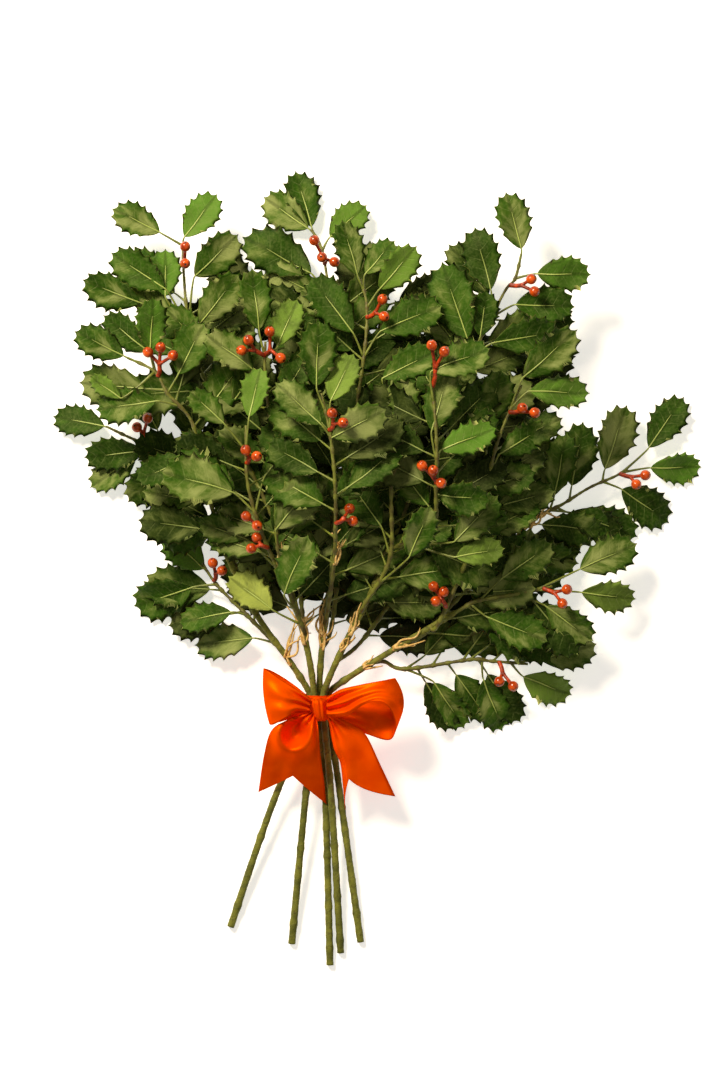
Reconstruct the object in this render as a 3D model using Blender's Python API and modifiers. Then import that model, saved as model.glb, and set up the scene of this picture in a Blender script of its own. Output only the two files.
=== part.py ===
"""A tied holly bunch: five holly branches with spiny leaves and berries, held by a satin ribbon bow.

The bunch lies on its back on a surface. +Y runs from the cut stem ends to the leaf tips, +X is to the
right as seen from above, +Z is up, and the origin is the middle of the bunch's footprint.
"""

import math

import bmesh
import bpy
from mathutils import Matrix, Vector

MM = 0.001

# Driving sizes, in millimetres.
GAP = 0.3
STEM_RADIUS = 2.4
TWIG_RADIUS = 1.5
STALK_HALF_WIDTH = 1.0
LEAF_THICKNESS = 0.9
LEAF_SLENDERNESS = 0.56
LEAF_RISE = 2.2
BERRY_RADIUS = 3.1
BERRY_STALK_RADIUS = 0.8
BERRY_HEIGHT = 10.0
TIE_X, TIE_Y, TIE_Z = -38.0, -88.0, 20.0
BAND_WIDTH = 13.0
BAND_INNER_RADIUS = 9.8
RIBBON_THICKNESS = 1.0

# Places along a leaf, from stalk to tip, and the half-width there as a share of the leaf's full width.
LEAF_ROWS = ((0.0, 0.09), (0.22, 0.46), (0.4, 0.34), (0.62, 0.5), (1.0, 0.0))
LEAF_FOLD = 0.22
LEAF_SAG = 0.06

# Each leaf takes the next tilt along its length and the next roll about its midrib, in degrees.
LEAF_TILTS = (7, -5, 11, 0, -8, 4)
LEAF_ROLLS = (12, -14, 16, -8, 5, -17)

# Main stems, cut end first. Each runs through the tie, then fans out.
STEMS = {
    "stem_1": [(-96, -234, 2.4), (-68, -152, 12), (-44.6, -97, 17.5), (-44.6, -88, 17.5), (-44.6, -80, 17.5),
               (-57, -60, 23), (-78, -30, 31), (-98, 10, 38)],
    "stem_2": [(-56, -245, 2.4), (-47, -150, 15), (-41.3, -97, 22.6), (-41.3, -80, 22.6),
               (-46, -50, 30), (-57, -10, 38), (-66, 30, 42)],
    "stem_3": [(-31, -259, 2.4), (-34, -150, 9), (-38, -97, 17.5), (-38, -80, 17.5),
               (-36, -50, 25), (-31, -10, 33), (-30, 40, 40)],
    "stem_4": [(-24, -251, 2.4), (-30, -150, 15), (-34.7, -97, 22.6), (-34.7, -80, 22.6),
               (-22, -50, 30), (-4, -15, 37), (14, 30, 42)],
    "stem_5": [(-11, -244, 2.4), (-24, -150, 9), (-31.4, -97, 17.5), (-31.4, -88, 17.5), (-31.4, -80, 17.5),
               (-12, -66, 22), (14, -50, 28), (50, -28, 34)],
}

# Side sprays. A twig is points from its fork outwards. A leaf is its blade's base and tip in plan, and a
# third pair of numbers, where it is given, sets the heights of base and tip. A berry cluster is its
# berries in plan.
SPRAYS = {
    "upper_left": {
        "twig": [(-68, 35, 43), (-95, 90, 46), (-115, 130, 44), (-122, 155, 41), (-126, 201, 32), (-125, 212, 29)],
        "leaves": [(-141, 218, -170, 233), (-125, 215, -105, 242), (-118, 189, -91, 214), (-137, 181, -171, 203),
                   (-137, 176, -137, 206), (-153, 172, -189, 185), (-115, 158, -90, 189), (-109, 141, -137, 168),
                   (-93, 108, -72, 138)],
        "berries": [[(-124, 208), (-124, 197)]],
    },
    "left": {
        "twig": [(-100, 15, 40), (-112, 60, 50), (-119, 94, 56), (-135, 113, 58), (-143, 127, 57), (-161, 136, 54)],
        "leaves": [(-163, 137, -193, 152), (-147, 140, -176, 162), (-146, 140, -144, 173), (-128, 125, -112, 157),
                   (-142, 108, -180, 103), (-165, 110, -184, 123), (-121, 71, -154, 58)],
        "berries": [[(-147, 139), (-139, 142), (-131, 137)]],
    },
    "mid_left": {
        "twig": [(-92, 0, 30), (-106, 45, 24), (-119, 74, 20), (-152, 82, 14), (-177, 93, 9)],
        "leaves": [(-178, 93, -211, 100, 9, 2.4), (-152, 77, -190, 73, 13, 5), (-124, 64, -159, 47, 16, 4),
                   (-106, 30, -142, 18, 23, 15), (-104, 46, -74, 66)],
        "berries": [[(-149, 98), (-156, 92)]],
    },
    "top": {
        "twig": [(-30, 45, 40), (-26, 100, 40), (-30, 150, 32), (-31, 175, 25), (-36, 207, 16), (-43, 221, 12)],
        "leaves": [(-43, 223, -53, 259, 10, 2.6), (-45, 222, -74, 242, 10, 4), (-43, 192, -86, 216, 21, 15),
                   (-31, 216, -8, 237, 15, 9)],
        "berries": [[(-41, 213), (-36, 202), (-28, 199)]],
    },
    "upper_middle": {
        "twig": [(-29, 27, 43), (-18, 80, 53), (-9, 136, 56), (-7, 168, 52), (-11, 187, 48)],
        "leaves": [(-13, 189, -22, 223), (-8, 190, 10, 211), (1, 180, 24, 206), (2, 153, 40, 170),
                   (-16, 152, -42, 187)],
        "berries": [[(3, 173), (4, 162)]],
    },
    "upper_inner": {
        "twig": [(-64, 14, 46), (-66, 70, 56), (-72, 120, 63), (-72, 146, 64)],
        "leaves": [(-76, 153, -80, 191), (-64, 143, -52, 172), (-80, 128, -108, 150), (-62, 108, -44, 140)],
        "berries": [[(-69, 152), (-62, 135)]],
    },
    "upper_right": {
        "twig": [(16, 34, 43), (35, 80, 50), (55, 125, 49), (65, 146, 47), (73, 162, 44), (83, 181, 38),
                 (89, 188, 35), (93, 204, 31)],
        "leaves": [(93, 207, 84, 242), (73, 180, 63, 219), (103, 191, 136, 190), (89, 171, 126, 170, 38, 36),
                   (75, 146, 116, 153), (58, 148, 41, 195), (66, 150, 70, 178), (40, 110, 18, 146)],
        "berries": [[(99, 187), (101, 179)]],
    },
    "right_upper": {
        "twig": [(40, -34, 38), (62, 20, 56), (76, 80, 68), (92, 118, 68)],
        "leaves": [(93, 123, 126, 151), (97, 114, 134, 113), (70, 94, 79, 126), (66, 52, 100, 62),
                   (78, 74, 108, 92)],
        "berries": [[(92, 103), (100, 100)]],
    },
    "far_right": {
        "twig": [(30, -42, 24), (70, 0, 26), (102, 32, 23), (120, 42, 20), (138, 53, 16), (154, 60, 13), (163, 65, 11)],
        "leaves": [(148, 65, 162, 105, 15, 10), (177, 79, 199, 112, 9, 3), (178, 66, 211, 66, 9, 2.3),
                   (159, 52, 190, 31, 12, 3), (129, 36, 169, 21, 17, 7), (115, 49, 122, 87), (92, 12, 130, 3, 21, 14)],
        "berries": [[(174, 61), (168, 55)]],
    },
    "low_right": {
        "twig": [(57, -24, 36), (66, -20, 38), (90, -16, 37), (113, -11, 33)],
        "leaves": [(132, -15, 167, -20, 30, 22), (131, 0, 167, 16, 30, 24), (109, -24, 138, -46, 34, 33), (71, -31, 109, -46),
                   (80, -6, 112, 16, 42, 40)],
        "berries": [[(122, -13), (119, -22)]],
    },
    "bottom_right": {
        "twig": [(4, -60, 20), (18, -65, 19), (60, -59, 16), (74, -60, 14), (98, -62, 12)],
        "leaves": [(37, -74, 56, -103, 14, 4), (69, -72, 82, -105, 12, 2.5), (95, -70, 126, -83, 11, 3),
                   (106, -59, 142, -49, 11, 5), (31, -56, 51, -34, 15, 10), (72, -50, 96, -32, 13, 8)],
        "berries": [[(79, -73), (88, -76)]],
    },
    "bottom_left": {
        "twig": [(-67, -48, 21), (-85, -30, 17), (-105, -10, 13), (-114, 4, 11)],
        "leaves": [(-81, -45, -119, -49, 14, 3), (-121, -12, -158, -25, 11, 2.7), (-95, -28, -129, -34, 18, 12),
                   (-113, 0, -139, 23, 11, 5)],
        "berries": [[(-107, 4), (-101, -1)]],
    },
    "centre_left": {
        "twig": [(-57, -14, 43), (-72, 18, 66), (-83, 55, 78), (-84, 92, 80)],
        "leaves": [(-98, 93, -119, 113), (-82, 97, -75, 128), (-92, 49, -136, 63), (-85, 20, -114, 30),
                   (-72, 60, -50, 88)],
        "berries": [[(-84, 76), (-77, 72)], [(-84, 34), (-77, 28)]],
    },
    "low_centre": {
        "twig": [(-49, -36, 38), (-58, -12, 53), (-65, 24, 68), (-59, 58, 70)],
        "leaves": [(-65, 26, -39, 58, 70, 76), (-60, -16, -46, 20, 58, 70), (-68, -26, -95, -5, 46, 44),
                   (-58, 62, -70, 94, 70, 64)],
        "berries": [],
    },
    "centre": {
        "twig": [(-33, -30, 35), (-28, 5, 62), (-27, 47, 88), (-30, 84, 94), (-36, 112, 92)],
        "leaves": [(-39, 116, -38, 157), (-30, 107, -16, 136), (-29, 84, 4, 101), (-26, 48, 4, 70),
                   (-36, 92, -64, 118), (-29, 12, -8, 38)],
        "berries": [[(-29, 99), (-22, 93)], [(-18, 39), (-16, 31)]],
    },
    "centre_right": {
        "twig": [(-8, -22, 42), (8, 8, 58), (9, 55, 72), (18, 88, 77), (5, 113, 75)],
        "leaves": [(20, 8, 33, 38, 70, 83), (8, 60, 20, 84), (19, 91, 14, 122), (3, 122, 36, 139),
                   (2, 28, -18, 56)],
        "berries": [],
    },
    "right": {
        "twig": [(6, 12, 46), (34, 25, 66), (37, 52, 84), (37, 85, 92), (34, 122, 88)],
        "leaves": [(49, 18, 76, 46, 71, 73), (50, 8, 80, 14, 69, 68), (38, 48, 70, 44), (40, 76, 74, 90), (34, 88, 45, 126),
                   (34, 126, 69, 141)],
        "berries": [[(28, 66), (35, 63), (40, 55)], [(34, 142), (42, 138)]],
    },
}

# Undergrowth sprays carry their leaves by rule: in turn to the left and right, evenly along the twig.
UNDERGROWTH = {
    "under_left": [(-48, -38, 21), (-54, 20, 15), (-66, 90, 12), (-84, 150, 10), (-84, 162, 10)],
    "under_middle": [(-30, -38, 19), (-22, 20, 20), (-8, 80, 22), (-2, 140, 20), (6, 176, 17)],
    "under_right": [(-8, -44, 20), (28, 10, 14), (48, 62, 12), (70, 110, 11), (78, 132, 10)],
}
UNDERGROWTH_STEP = 25.0
UNDERGROWTH_START = 55.0
UNDERGROWTH_TURN = 52.0
UNDERGROWTH_STALK = 11.0
UNDERGROWTH_LEAF = 38.0

# The bow, in plan: each loop's edges from the knot outwards, and each tail's four corners and notch.
KNOT_SIZE = (11.0, 15.0, 9.0)
KNOT_Z = 36.5
LOOPS = {
    "bow_loop_left": {"at_knot": (-44.5, -83, -97), "outer": (-73, -64, -101)},
    "bow_loop_right": {"at_knot": (-31.5, -82, -98), "outer": (14, -71, -109)},
}
LOOP_TOP, LOOP_BOTTOM = 51.0, 33.5
LOOP_STEPS = 12
TAILS = {
    "bow_tail_left": [((-43, -97), (-38.5, -97)), ((-71, -111), (-40, -114)), ((-77.5, -146), (-33.5, -153))],
    "bow_tail_right": [((-36.5, -99), (-31, -99)), ((-24, -121), (-7, -108)), ((-21, -158), (12, -148))],
}
TAIL_NOTCH = 17.0
TAIL_HEIGHTS = (30.5, 28.0, 26.5)


def clear_scene():
    """Remove whatever the file opened with."""
    for item in list(bpy.data.objects):
        bpy.data.objects.remove(item, do_unlink=True)


def collection_named(name):
    """A new collection linked to the scene."""
    made = bpy.data.collections.new(name)
    bpy.context.scene.collection.children.link(made)
    return made


def material_named(name, colour, roughness):
    """A Principled material of one colour."""
    made = bpy.data.materials.new(name)
    made.use_nodes = True
    shader = made.node_tree.nodes["Principled BSDF"]
    shader.inputs["Base Color"].default_value = (*colour, 1.0)
    shader.inputs["Roughness"].default_value = roughness
    return made


def smooth_path(points, steps):
    """Points on a Catmull-Rom curve through the given ones, with this many steps to each stretch."""
    ends = [points[0], *points, points[-1]]
    made = []
    for before, start, stop, after in zip(ends, ends[1:], ends[2:], ends[3:]):
        for step in range(steps):
            t = step / steps
            made.append(start + 0.5 * t * (
                (stop - before)
                + t * (2 * before - 5 * start + 4 * stop - after)
                + t * t * (3 * start - before - 3 * stop + after)
            ))
    made.append(points[-1])
    return made


def tube(name, paths, radius, sides, home, taper=1.0):
    """A curve object with one round tube along each path; its radius falls to `taper` of itself."""
    curve = bpy.data.curves.new(name, "CURVE")
    curve.dimensions = "3D"
    curve.bevel_depth = radius * MM
    curve.bevel_resolution = sides // 2 - 2
    curve.use_fill_caps = True
    for path in paths:
        spline = curve.splines.new("POLY")
        spline.points.add(len(path) - 1)
        for index, (point, at) in enumerate(zip(spline.points, path)):
            point.co = (*(at * MM), 1.0)
            point.radius = 1.0 - (1.0 - taper) * index / (len(path) - 1)
    made = bpy.data.objects.new(name, curve)
    home.objects.link(made)
    return made


def as_mesh(curve_object, home):
    """The curve made a mesh with its caps welded; the curve object is removed."""
    bpy.context.view_layer.update()
    graph = bpy.context.evaluated_depsgraph_get()
    mesh = bpy.data.meshes.new_from_object(curve_object.evaluated_get(graph))
    cage = bmesh.new()
    cage.from_mesh(mesh)
    bmesh.ops.remove_doubles(cage, verts=cage.verts, dist=1e-6)
    cage.to_mesh(mesh)
    cage.free()
    name = curve_object.name
    made = bpy.data.objects.new(name + "_mesh", mesh)
    made.matrix_world = curve_object.matrix_world
    bpy.data.objects.remove(curve_object, do_unlink=True)
    made.name = name
    home.objects.link(made)
    return made


def hide_as_cutter(helper):
    """A helper is seen as wires only and never rendered."""
    helper.hide_render = True
    helper.display_type = "WIRE"


def grow_together(body, pieces_home):
    """One solid of the body and every object in the collection, by one Boolean union."""
    union = body.modifiers.new("Grown together", "BOOLEAN")
    union.operation = "UNION"
    union.operand_type = "COLLECTION"
    union.collection = pieces_home
    union.solver = "EXACT"


def leaf_surface(fork, base, tip, roll):
    """A grid shaped as a leaf stalk from the fork to the blade's base, then a blade with spines."""
    rows = len(LEAF_ROWS)
    cage = bmesh.new()
    bmesh.ops.create_grid(cage, x_segments=2, y_segments=rows, size=1.0)
    along = tip - base
    length = along.length
    forward = along.normalized()
    up = (Vector((0, 0, 1)) - forward * forward.z).normalized()
    up = Matrix.Rotation(math.radians(roll), 3, forward) @ up
    side = forward.cross(up)
    across_stalk = (base - fork).cross(up).normalized()
    width = length * LEAF_SLENDERNESS
    for vertex in cage.verts:
        u = vertex.co.x
        row = round((vertex.co.y + 1) / 2 * rows)
        if row == 0:
            place = fork + across_stalk * u * STALK_HALF_WIDTH
        else:
            t, share = LEAF_ROWS[row - 1]
            half = max(width * share, STALK_HALF_WIDTH if t == 0 else 0)
            lift = LEAF_FOLD * half * abs(u) - LEAF_SAG * length * t * t
            place = base + forward * length * t + side * u * half + up * lift
        vertex.co = place * MM
    bmesh.ops.remove_doubles(cage, verts=cage.verts, dist=1e-6)
    bmesh.ops.recalc_face_normals(cage, faces=cage.faces)
    mesh = bpy.data.meshes.new("leaf")
    cage.to_mesh(mesh)
    cage.free()
    return mesh


def leaf(fork, base, tip, roll, home):
    """A leaf with its stalk, as a thin solid that will be joined to its twig."""
    made = bpy.data.objects.new("leaf", leaf_surface(fork, base, tip, roll))
    home.objects.link(made)
    wall = made.modifiers.new("Thickness", "SOLIDIFY")
    wall.thickness = LEAF_THICKNESS * MM
    wall.offset = 0.0
    hide_as_cutter(made)
    return made


def nearest_on(path, place, step_back):
    """The path's point nearest to a place in plan, a few points towards the root."""
    gaps = [(point.xy - place.xy).length for point in path]
    return path[max(gaps.index(min(gaps)) - step_back, 0)]


def spray_leaf_places(twig, leaves):
    """Fork, base, tip and roll of each listed leaf."""
    places = []
    for index, (base_x, base_y, tip_x, tip_y, *heights) in enumerate(leaves):
        base = Vector((base_x, base_y, 0))
        tip = Vector((tip_x, tip_y, 0))
        fork = nearest_on(twig, base, 1)
        if heights:
            base.z, tip.z = heights
        else:
            base.z = fork.z + LEAF_RISE
            tilt = math.radians(LEAF_TILTS[index % len(LEAF_TILTS)])
            tip.z = base.z + (tip - base).xy.length * math.tan(tilt)
        places.append((fork, base, tip, LEAF_ROLLS[index % len(LEAF_ROLLS)]))
    return places


def undergrowth_leaf_places(twig):
    """Leaves in turn to the left and right of a twig, one to each step of its length, and one at its end."""
    places = []
    travelled = 0.0
    due = UNDERGROWTH_START
    for before, point in zip(twig, twig[1:]):
        travelled += (point - before).length
        if travelled < due:
            continue
        due += UNDERGROWTH_STEP
        count = len(places)
        turn = math.radians(UNDERGROWTH_TURN if count % 2 else -UNDERGROWTH_TURN)
        heading = Matrix.Rotation(turn, 3, "Z") @ (point - before).normalized()
        base = point + heading * UNDERGROWTH_STALK
        base.z = point.z + 1.0
        tip = base + heading * UNDERGROWTH_LEAF
        tip.z = base.z - 3.0
        places.append((point, base, tip, LEAF_ROLLS[count % len(LEAF_ROLLS)] * 0.5))
    heading = (twig[-1] - twig[-2]).normalized()
    base = twig[-1] + heading * 5.0
    tip = base + heading * UNDERGROWTH_LEAF
    places.append((twig[-1] - heading * 3.0, base, tip, 0.0))
    return places


def spray(name, twig, places, home, cutters, material):
    """A twig with its leaves as one solid."""
    pieces = bpy.data.collections.new(name + "_leaves")
    cutters.children.link(pieces)
    body = as_mesh(tube(name, [twig], TWIG_RADIUS, 6, home, taper=0.75), home)
    for fork, base, tip, roll in places:
        leaf(fork, base, tip, roll, pieces)
    grow_together(body, pieces)
    body.data.materials.append(material)


def berry(centre, home):
    """A berry to be joined to its stalk."""
    cage = bmesh.new()
    bmesh.ops.create_uvsphere(cage, u_segments=6, v_segments=4, radius=BERRY_RADIUS * MM)
    bmesh.ops.translate(cage, verts=cage.verts, vec=centre * MM)
    mesh = bpy.data.meshes.new("berry")
    cage.to_mesh(mesh)
    cage.free()
    made = bpy.data.objects.new("berry", mesh)
    home.objects.link(made)
    hide_as_cutter(made)


def berry_cluster(name, twig, berries, home, cutters, material):
    """Berries on a forked stalk that rises from the twig."""
    middle = sum((Vector((x, y, 0)) for x, y in berries), Vector()) / len(berries)
    root, ahead = nearest_on(twig, middle, 1), nearest_on(twig, middle, 0)
    along = (ahead - root).normalized() if ahead != root else Vector((0, 1, 0))
    away = Vector((middle.x - root.x, middle.y - root.y, 0))
    off_twig = (Vector((0, 0, 1)) - along * along.z).normalized()
    foot = root + off_twig * (TWIG_RADIUS + BERRY_STALK_RADIUS + 3 * GAP)
    fork = foot + away * 0.35 + Vector((0, 0, 2.6))
    pieces = bpy.data.collections.new(name + "_pieces")
    cutters.children.link(pieces)
    centres = []
    for index, (x, y) in enumerate(berries):
        centres.append(Vector((x, y, root.z + BERRY_HEIGHT + 1.2 * (index % 2))))
    trunk = as_mesh(tube(name, [[foot, fork, centres[0]]], BERRY_STALK_RADIUS, 4, home), home)
    for centre in centres:
        berry(centre, pieces)
    for centre in centres[1:]:
        hide_as_cutter(as_mesh(tube("stalk", [[fork, centre]], BERRY_STALK_RADIUS, 4, pieces), pieces))
    grow_together(trunk, pieces)
    trunk.data.materials.append(material)


def ribbon_strip(name, rows, home, material):
    """A ribbon from rows of points across it: an open sheet given its thickness."""
    across = len(rows[0])
    cage = bmesh.new()
    grid = [[cage.verts.new(point * MM) for point in row] for row in rows]
    for first, second in zip(grid, grid[1:]):
        for column in range(across - 1):
            cage.faces.new((first[column], first[column + 1], second[column + 1], second[column]))
    bmesh.ops.recalc_face_normals(cage, faces=cage.faces)
    mesh = bpy.data.meshes.new(name)
    cage.to_mesh(mesh)
    cage.free()
    made = bpy.data.objects.new(name, mesh)
    home.objects.link(made)
    wall = made.modifiers.new("Thickness", "SOLIDIFY")
    wall.thickness = RIBBON_THICKNESS * MM
    wall.offset = 0.0
    mesh.materials.append(material)
    return made


def bow_loop(name, at_knot, outer, home, material):
    """A ribbon that leaves the knot high, turns over at its outer end and comes back low."""
    knot_x, knot_front, knot_back = at_knot
    outer_x, outer_front, outer_back = outer
    middle = (LOOP_TOP + LOOP_BOTTOM) / 2
    rows = []
    for step in range(LOOP_STEPS + 1):
        angle = math.pi * (0.08 + 1.84 * step / LOOP_STEPS)
        reach = (1 - math.cos(angle)) / 2
        swell = math.sin(angle) * (0.35 + 0.65 * reach) * (LOOP_TOP - LOOP_BOTTOM) / 2
        x = knot_x + (outer_x - knot_x) * reach
        front = knot_front + (outer_front - knot_front) * reach
        back = knot_back + (outer_back - knot_back) * reach
        z = KNOT_Z + (middle - KNOT_Z) * reach + swell
        rows.append([Vector((x, front + (back - front) * share, z)) for share in (0.0, 0.5, 1.0)])
    return ribbon_strip(name, rows, home, material)


def bow_tail(name, edges, home, material):
    """A ribbon end that widens from under the knot and is cut in a notch."""
    rows = []
    for index, ((left_x, left_y), (right_x, right_y)) in enumerate(edges):
        z = TAIL_HEIGHTS[index]
        left = Vector((left_x, left_y, z))
        right = Vector((right_x, right_y, z))
        middle = (left + right) / 2
        if index == len(edges) - 1:
            middle += (rows[-1][1] - middle).normalized() * TAIL_NOTCH
            middle.z = z
        rows.append([left, middle, right])
    return ribbon_strip(name, rows, home, material)


def tie_band(home, material):
    """The ribbon wound round the stems: an open cylinder given its thickness."""
    cage = bmesh.new()
    bmesh.ops.create_cone(
        cage, cap_ends=False, segments=20, depth=BAND_WIDTH * MM,
        radius1=BAND_INNER_RADIUS * MM, radius2=BAND_INNER_RADIUS * MM,
    )
    bmesh.ops.rotate(cage, verts=cage.verts, matrix=Matrix.Rotation(math.pi / 2, 3, "X"))
    bmesh.ops.translate(cage, verts=cage.verts, vec=Vector((TIE_X, TIE_Y, TIE_Z)) * MM)
    bmesh.ops.recalc_face_normals(cage, faces=cage.faces)
    mesh = bpy.data.meshes.new("tie_band")
    cage.to_mesh(mesh)
    cage.free()
    made = bpy.data.objects.new("tie_band", mesh)
    home.objects.link(made)
    wall = made.modifiers.new("Thickness", "SOLIDIFY")
    wall.thickness = RIBBON_THICKNESS * MM
    wall.offset = 1.0
    mesh.materials.append(material)


def bow_knot(home, material):
    """The pillow of ribbon over the crossing: a box rounded by subdivision."""
    cage = bmesh.new()
    bmesh.ops.create_cube(cage, size=1.0)
    bmesh.ops.scale(cage, verts=cage.verts, vec=Vector(KNOT_SIZE) * MM)
    bmesh.ops.translate(cage, verts=cage.verts, vec=Vector((TIE_X, TIE_Y - 1, KNOT_Z)) * MM)
    mesh = bpy.data.meshes.new("bow_knot")
    cage.to_mesh(mesh)
    cage.free()
    made = bpy.data.objects.new("bow_knot", mesh)
    home.objects.link(made)
    rounding = made.modifiers.new("Rounded", "BEVEL")
    rounding.width = 3.0 * MM
    rounding.segments = 3
    mesh.materials.append(material)


def main():
    clear_scene()
    home = collection_named("holly_bunch")
    cutters = collection_named("holly_bunch_cutters")
    bark = material_named("taped stem", (0.15, 0.19, 0.03), 0.7)
    foliage = material_named("holly leaf", (0.035, 0.09, 0.012), 0.45)
    fruit = material_named("moulded berry", (0.60, 0.05, 0.005), 0.25)
    satin = material_named("satin ribbon", (0.88, 0.08, 0.004), 0.35)

    for name, points in STEMS.items():
        path = smooth_path([Vector(p) for p in points], 2)
        stem = tube(name, [path], STEM_RADIUS, 8, home, taper=0.8)
        stem.data.materials.append(bark)

    clusters = 0
    for name, plan in SPRAYS.items():
        twig = smooth_path([Vector(p) for p in plan["twig"]], 2)
        spray("spray_" + name, twig, spray_leaf_places(twig, plan["leaves"]), home, cutters, foliage)
        for berries in plan["berries"]:
            clusters += 1
            berry_cluster(f"berries_{clusters:02d}", twig, berries, home, cutters, fruit)
    for name, points in UNDERGROWTH.items():
        twig = smooth_path([Vector(p) for p in points], 3)
        spray("spray_" + name, twig, undergrowth_leaf_places(twig), home, cutters, foliage)

    tie_band(home, satin)
    bow_knot(home, satin)
    for name, plan in LOOPS.items():
        bow_loop(name, plan["at_knot"], plan["outer"], home, satin)
    for name, edges in TAILS.items():
        bow_tail(name, edges, home, satin)


main()
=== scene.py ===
"""The looks of a tied holly bunch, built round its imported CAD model.

Five taped stems run up through a satin bow and fork into leafy sprays with berries. Lengths are in
millimetres until a mesh is made, and every place is in the CAD model's own frame: +Y runs from the cut
ends to the leaf tips, +Z is up out of the surface that the bunch lies on.
"""

import logging
import math
from collections.abc import Callable
from dataclasses import dataclass, field, fields
from enum import Enum
from functools import partial
from typing import Any

import bmesh
import bpy
import numpy as np
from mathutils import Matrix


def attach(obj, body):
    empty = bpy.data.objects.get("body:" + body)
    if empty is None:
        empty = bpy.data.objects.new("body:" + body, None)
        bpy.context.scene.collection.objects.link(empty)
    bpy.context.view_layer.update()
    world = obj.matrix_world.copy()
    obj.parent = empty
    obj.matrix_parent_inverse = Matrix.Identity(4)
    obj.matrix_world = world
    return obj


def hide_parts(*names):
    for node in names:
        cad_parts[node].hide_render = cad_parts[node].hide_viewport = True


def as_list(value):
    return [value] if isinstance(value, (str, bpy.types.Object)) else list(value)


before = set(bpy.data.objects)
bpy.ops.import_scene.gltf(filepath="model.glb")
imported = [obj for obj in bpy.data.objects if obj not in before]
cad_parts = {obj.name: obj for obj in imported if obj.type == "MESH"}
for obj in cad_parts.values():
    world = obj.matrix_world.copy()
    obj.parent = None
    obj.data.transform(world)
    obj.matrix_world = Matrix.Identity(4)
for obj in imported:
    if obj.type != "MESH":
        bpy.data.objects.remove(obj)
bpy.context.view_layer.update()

LOG = logging.getLogger("holly_bunch")
MM = 0.001
PER_METRE = 1000.0
WELD_WITHIN = 1e-6
OUTLINE_SAMPLES = 800
Array = np.ndarray
Adder = Callable[..., bpy.types.NodeSocket]
UP = np.array([0.0, 0.0, 1.0])

TIE = np.array([-38.0, -88.0, 20.0])  # the middle of the crossing that the ribbon ties
STEM_RADIUS = 2.4
TWIG_RADIUS = 1.5
TWIG_STEPS = 2  # parts to a stretch of a listed twig: its leaves fork from the points between them
RULED_STEPS = 12  # the same on a twig whose leaves follow a rule
STEM_STEPS = 10
LEAF_RISE = 2.2  # from a fork up to its leaf's base, where no heights are listed
LEAF_TILTS = (7, -5, 11, 0, -8, 4)  # degrees, for the listed leaves in turn
LEAF_ROLLS = (12, -14, 16, -8, 5, -17)  # degrees, likewise
BERRY_HEIGHT = 10.0  # above the twig
BERRY_CLEARANCE = 13.0  # from a berry to the midrib of any leaf set by rule
LOWEST_FACE = 0.9  # no part of a blade's face lies lower than this
LOWEST_BACK = 0.4  # nor of its back

# Leaves set by rule: how far from the tie they start and the share of the twig that bears them, and
# their spacing. Then the limits between which each one's turn off the twig (in degrees), stalk,
# base's rise, length and tip's rise are drawn.
INNER_LEAVES = ((68.0, 0.8), 10.0)
UNDERGROWTH_LEAVES = ((52.0, 1.0), 7.5)
RULED_TURN = (42, 68)
RULED_STALK = (7, 13)
RULED_BASE_RISE = (-13.0, -4.0)
RULED_LENGTH = (33, 45)
RULED_TIP_RISE = (-12, 3)


class Tone(Enum):
    """How old a leaf is, as its place on the leaf print's scale of greens; the deep end is painted shade."""

    # Painted shade: leaves of this tone are painted near black, as shade deep in the bunch.
    DEEP_SHADE = 0.0
    GROWN = 0.35
    FRESH = 0.75
    PALE = 1.0


@dataclass(frozen=True)
class SprayPlan:
    """Where a spray's twig, leaves and berries lie, from its fork outwards.

    A leaf is its blade's base and tip in plan, then where needed the heights of the two. A berry
    cluster is its berries in plan. `fresh` and `pale` are the places of young leaves in the list.
    """

    twig: list[tuple[float, ...]]
    leaves: list[tuple[float, ...]]
    berries: list[list[tuple[float, float]]] = field(default_factory=list)
    fresh: tuple[int, ...] = ()
    pale: tuple[int, ...] = ()


STEMS = {
    "stem_1": [(-96, -234, 2.4), (-68, -152, 12), (-44.6, -97, 17.5), (-44.6, -88, 17.5), (-44.6, -80, 17.5),
               (-57, -60, 23), (-78, -30, 31), (-98, 10, 38)],
    "stem_2": [(-56, -245, 2.4), (-47, -150, 15), (-41.3, -97, 22.6), (-41.3, -80, 22.6),
               (-46, -50, 30), (-57, -10, 38), (-66, 30, 42)],
    "stem_3": [(-31, -259, 2.4), (-34, -150, 9), (-38, -97, 17.5), (-38, -80, 17.5),
               (-36, -50, 25), (-31, -10, 33), (-30, 40, 40)],
    "stem_4": [(-24, -251, 2.4), (-30, -150, 15), (-34.7, -97, 22.6), (-34.7, -80, 22.6),
               (-22, -50, 30), (-4, -15, 37), (14, 30, 42)],
    "stem_5": [(-11, -244, 2.4), (-24, -150, 9), (-31.4, -97, 17.5), (-31.4, -88, 17.5), (-31.4, -80, 17.5),
               (-12, -66, 22), (14, -50, 28), (50, -28, 34)],
}

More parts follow.
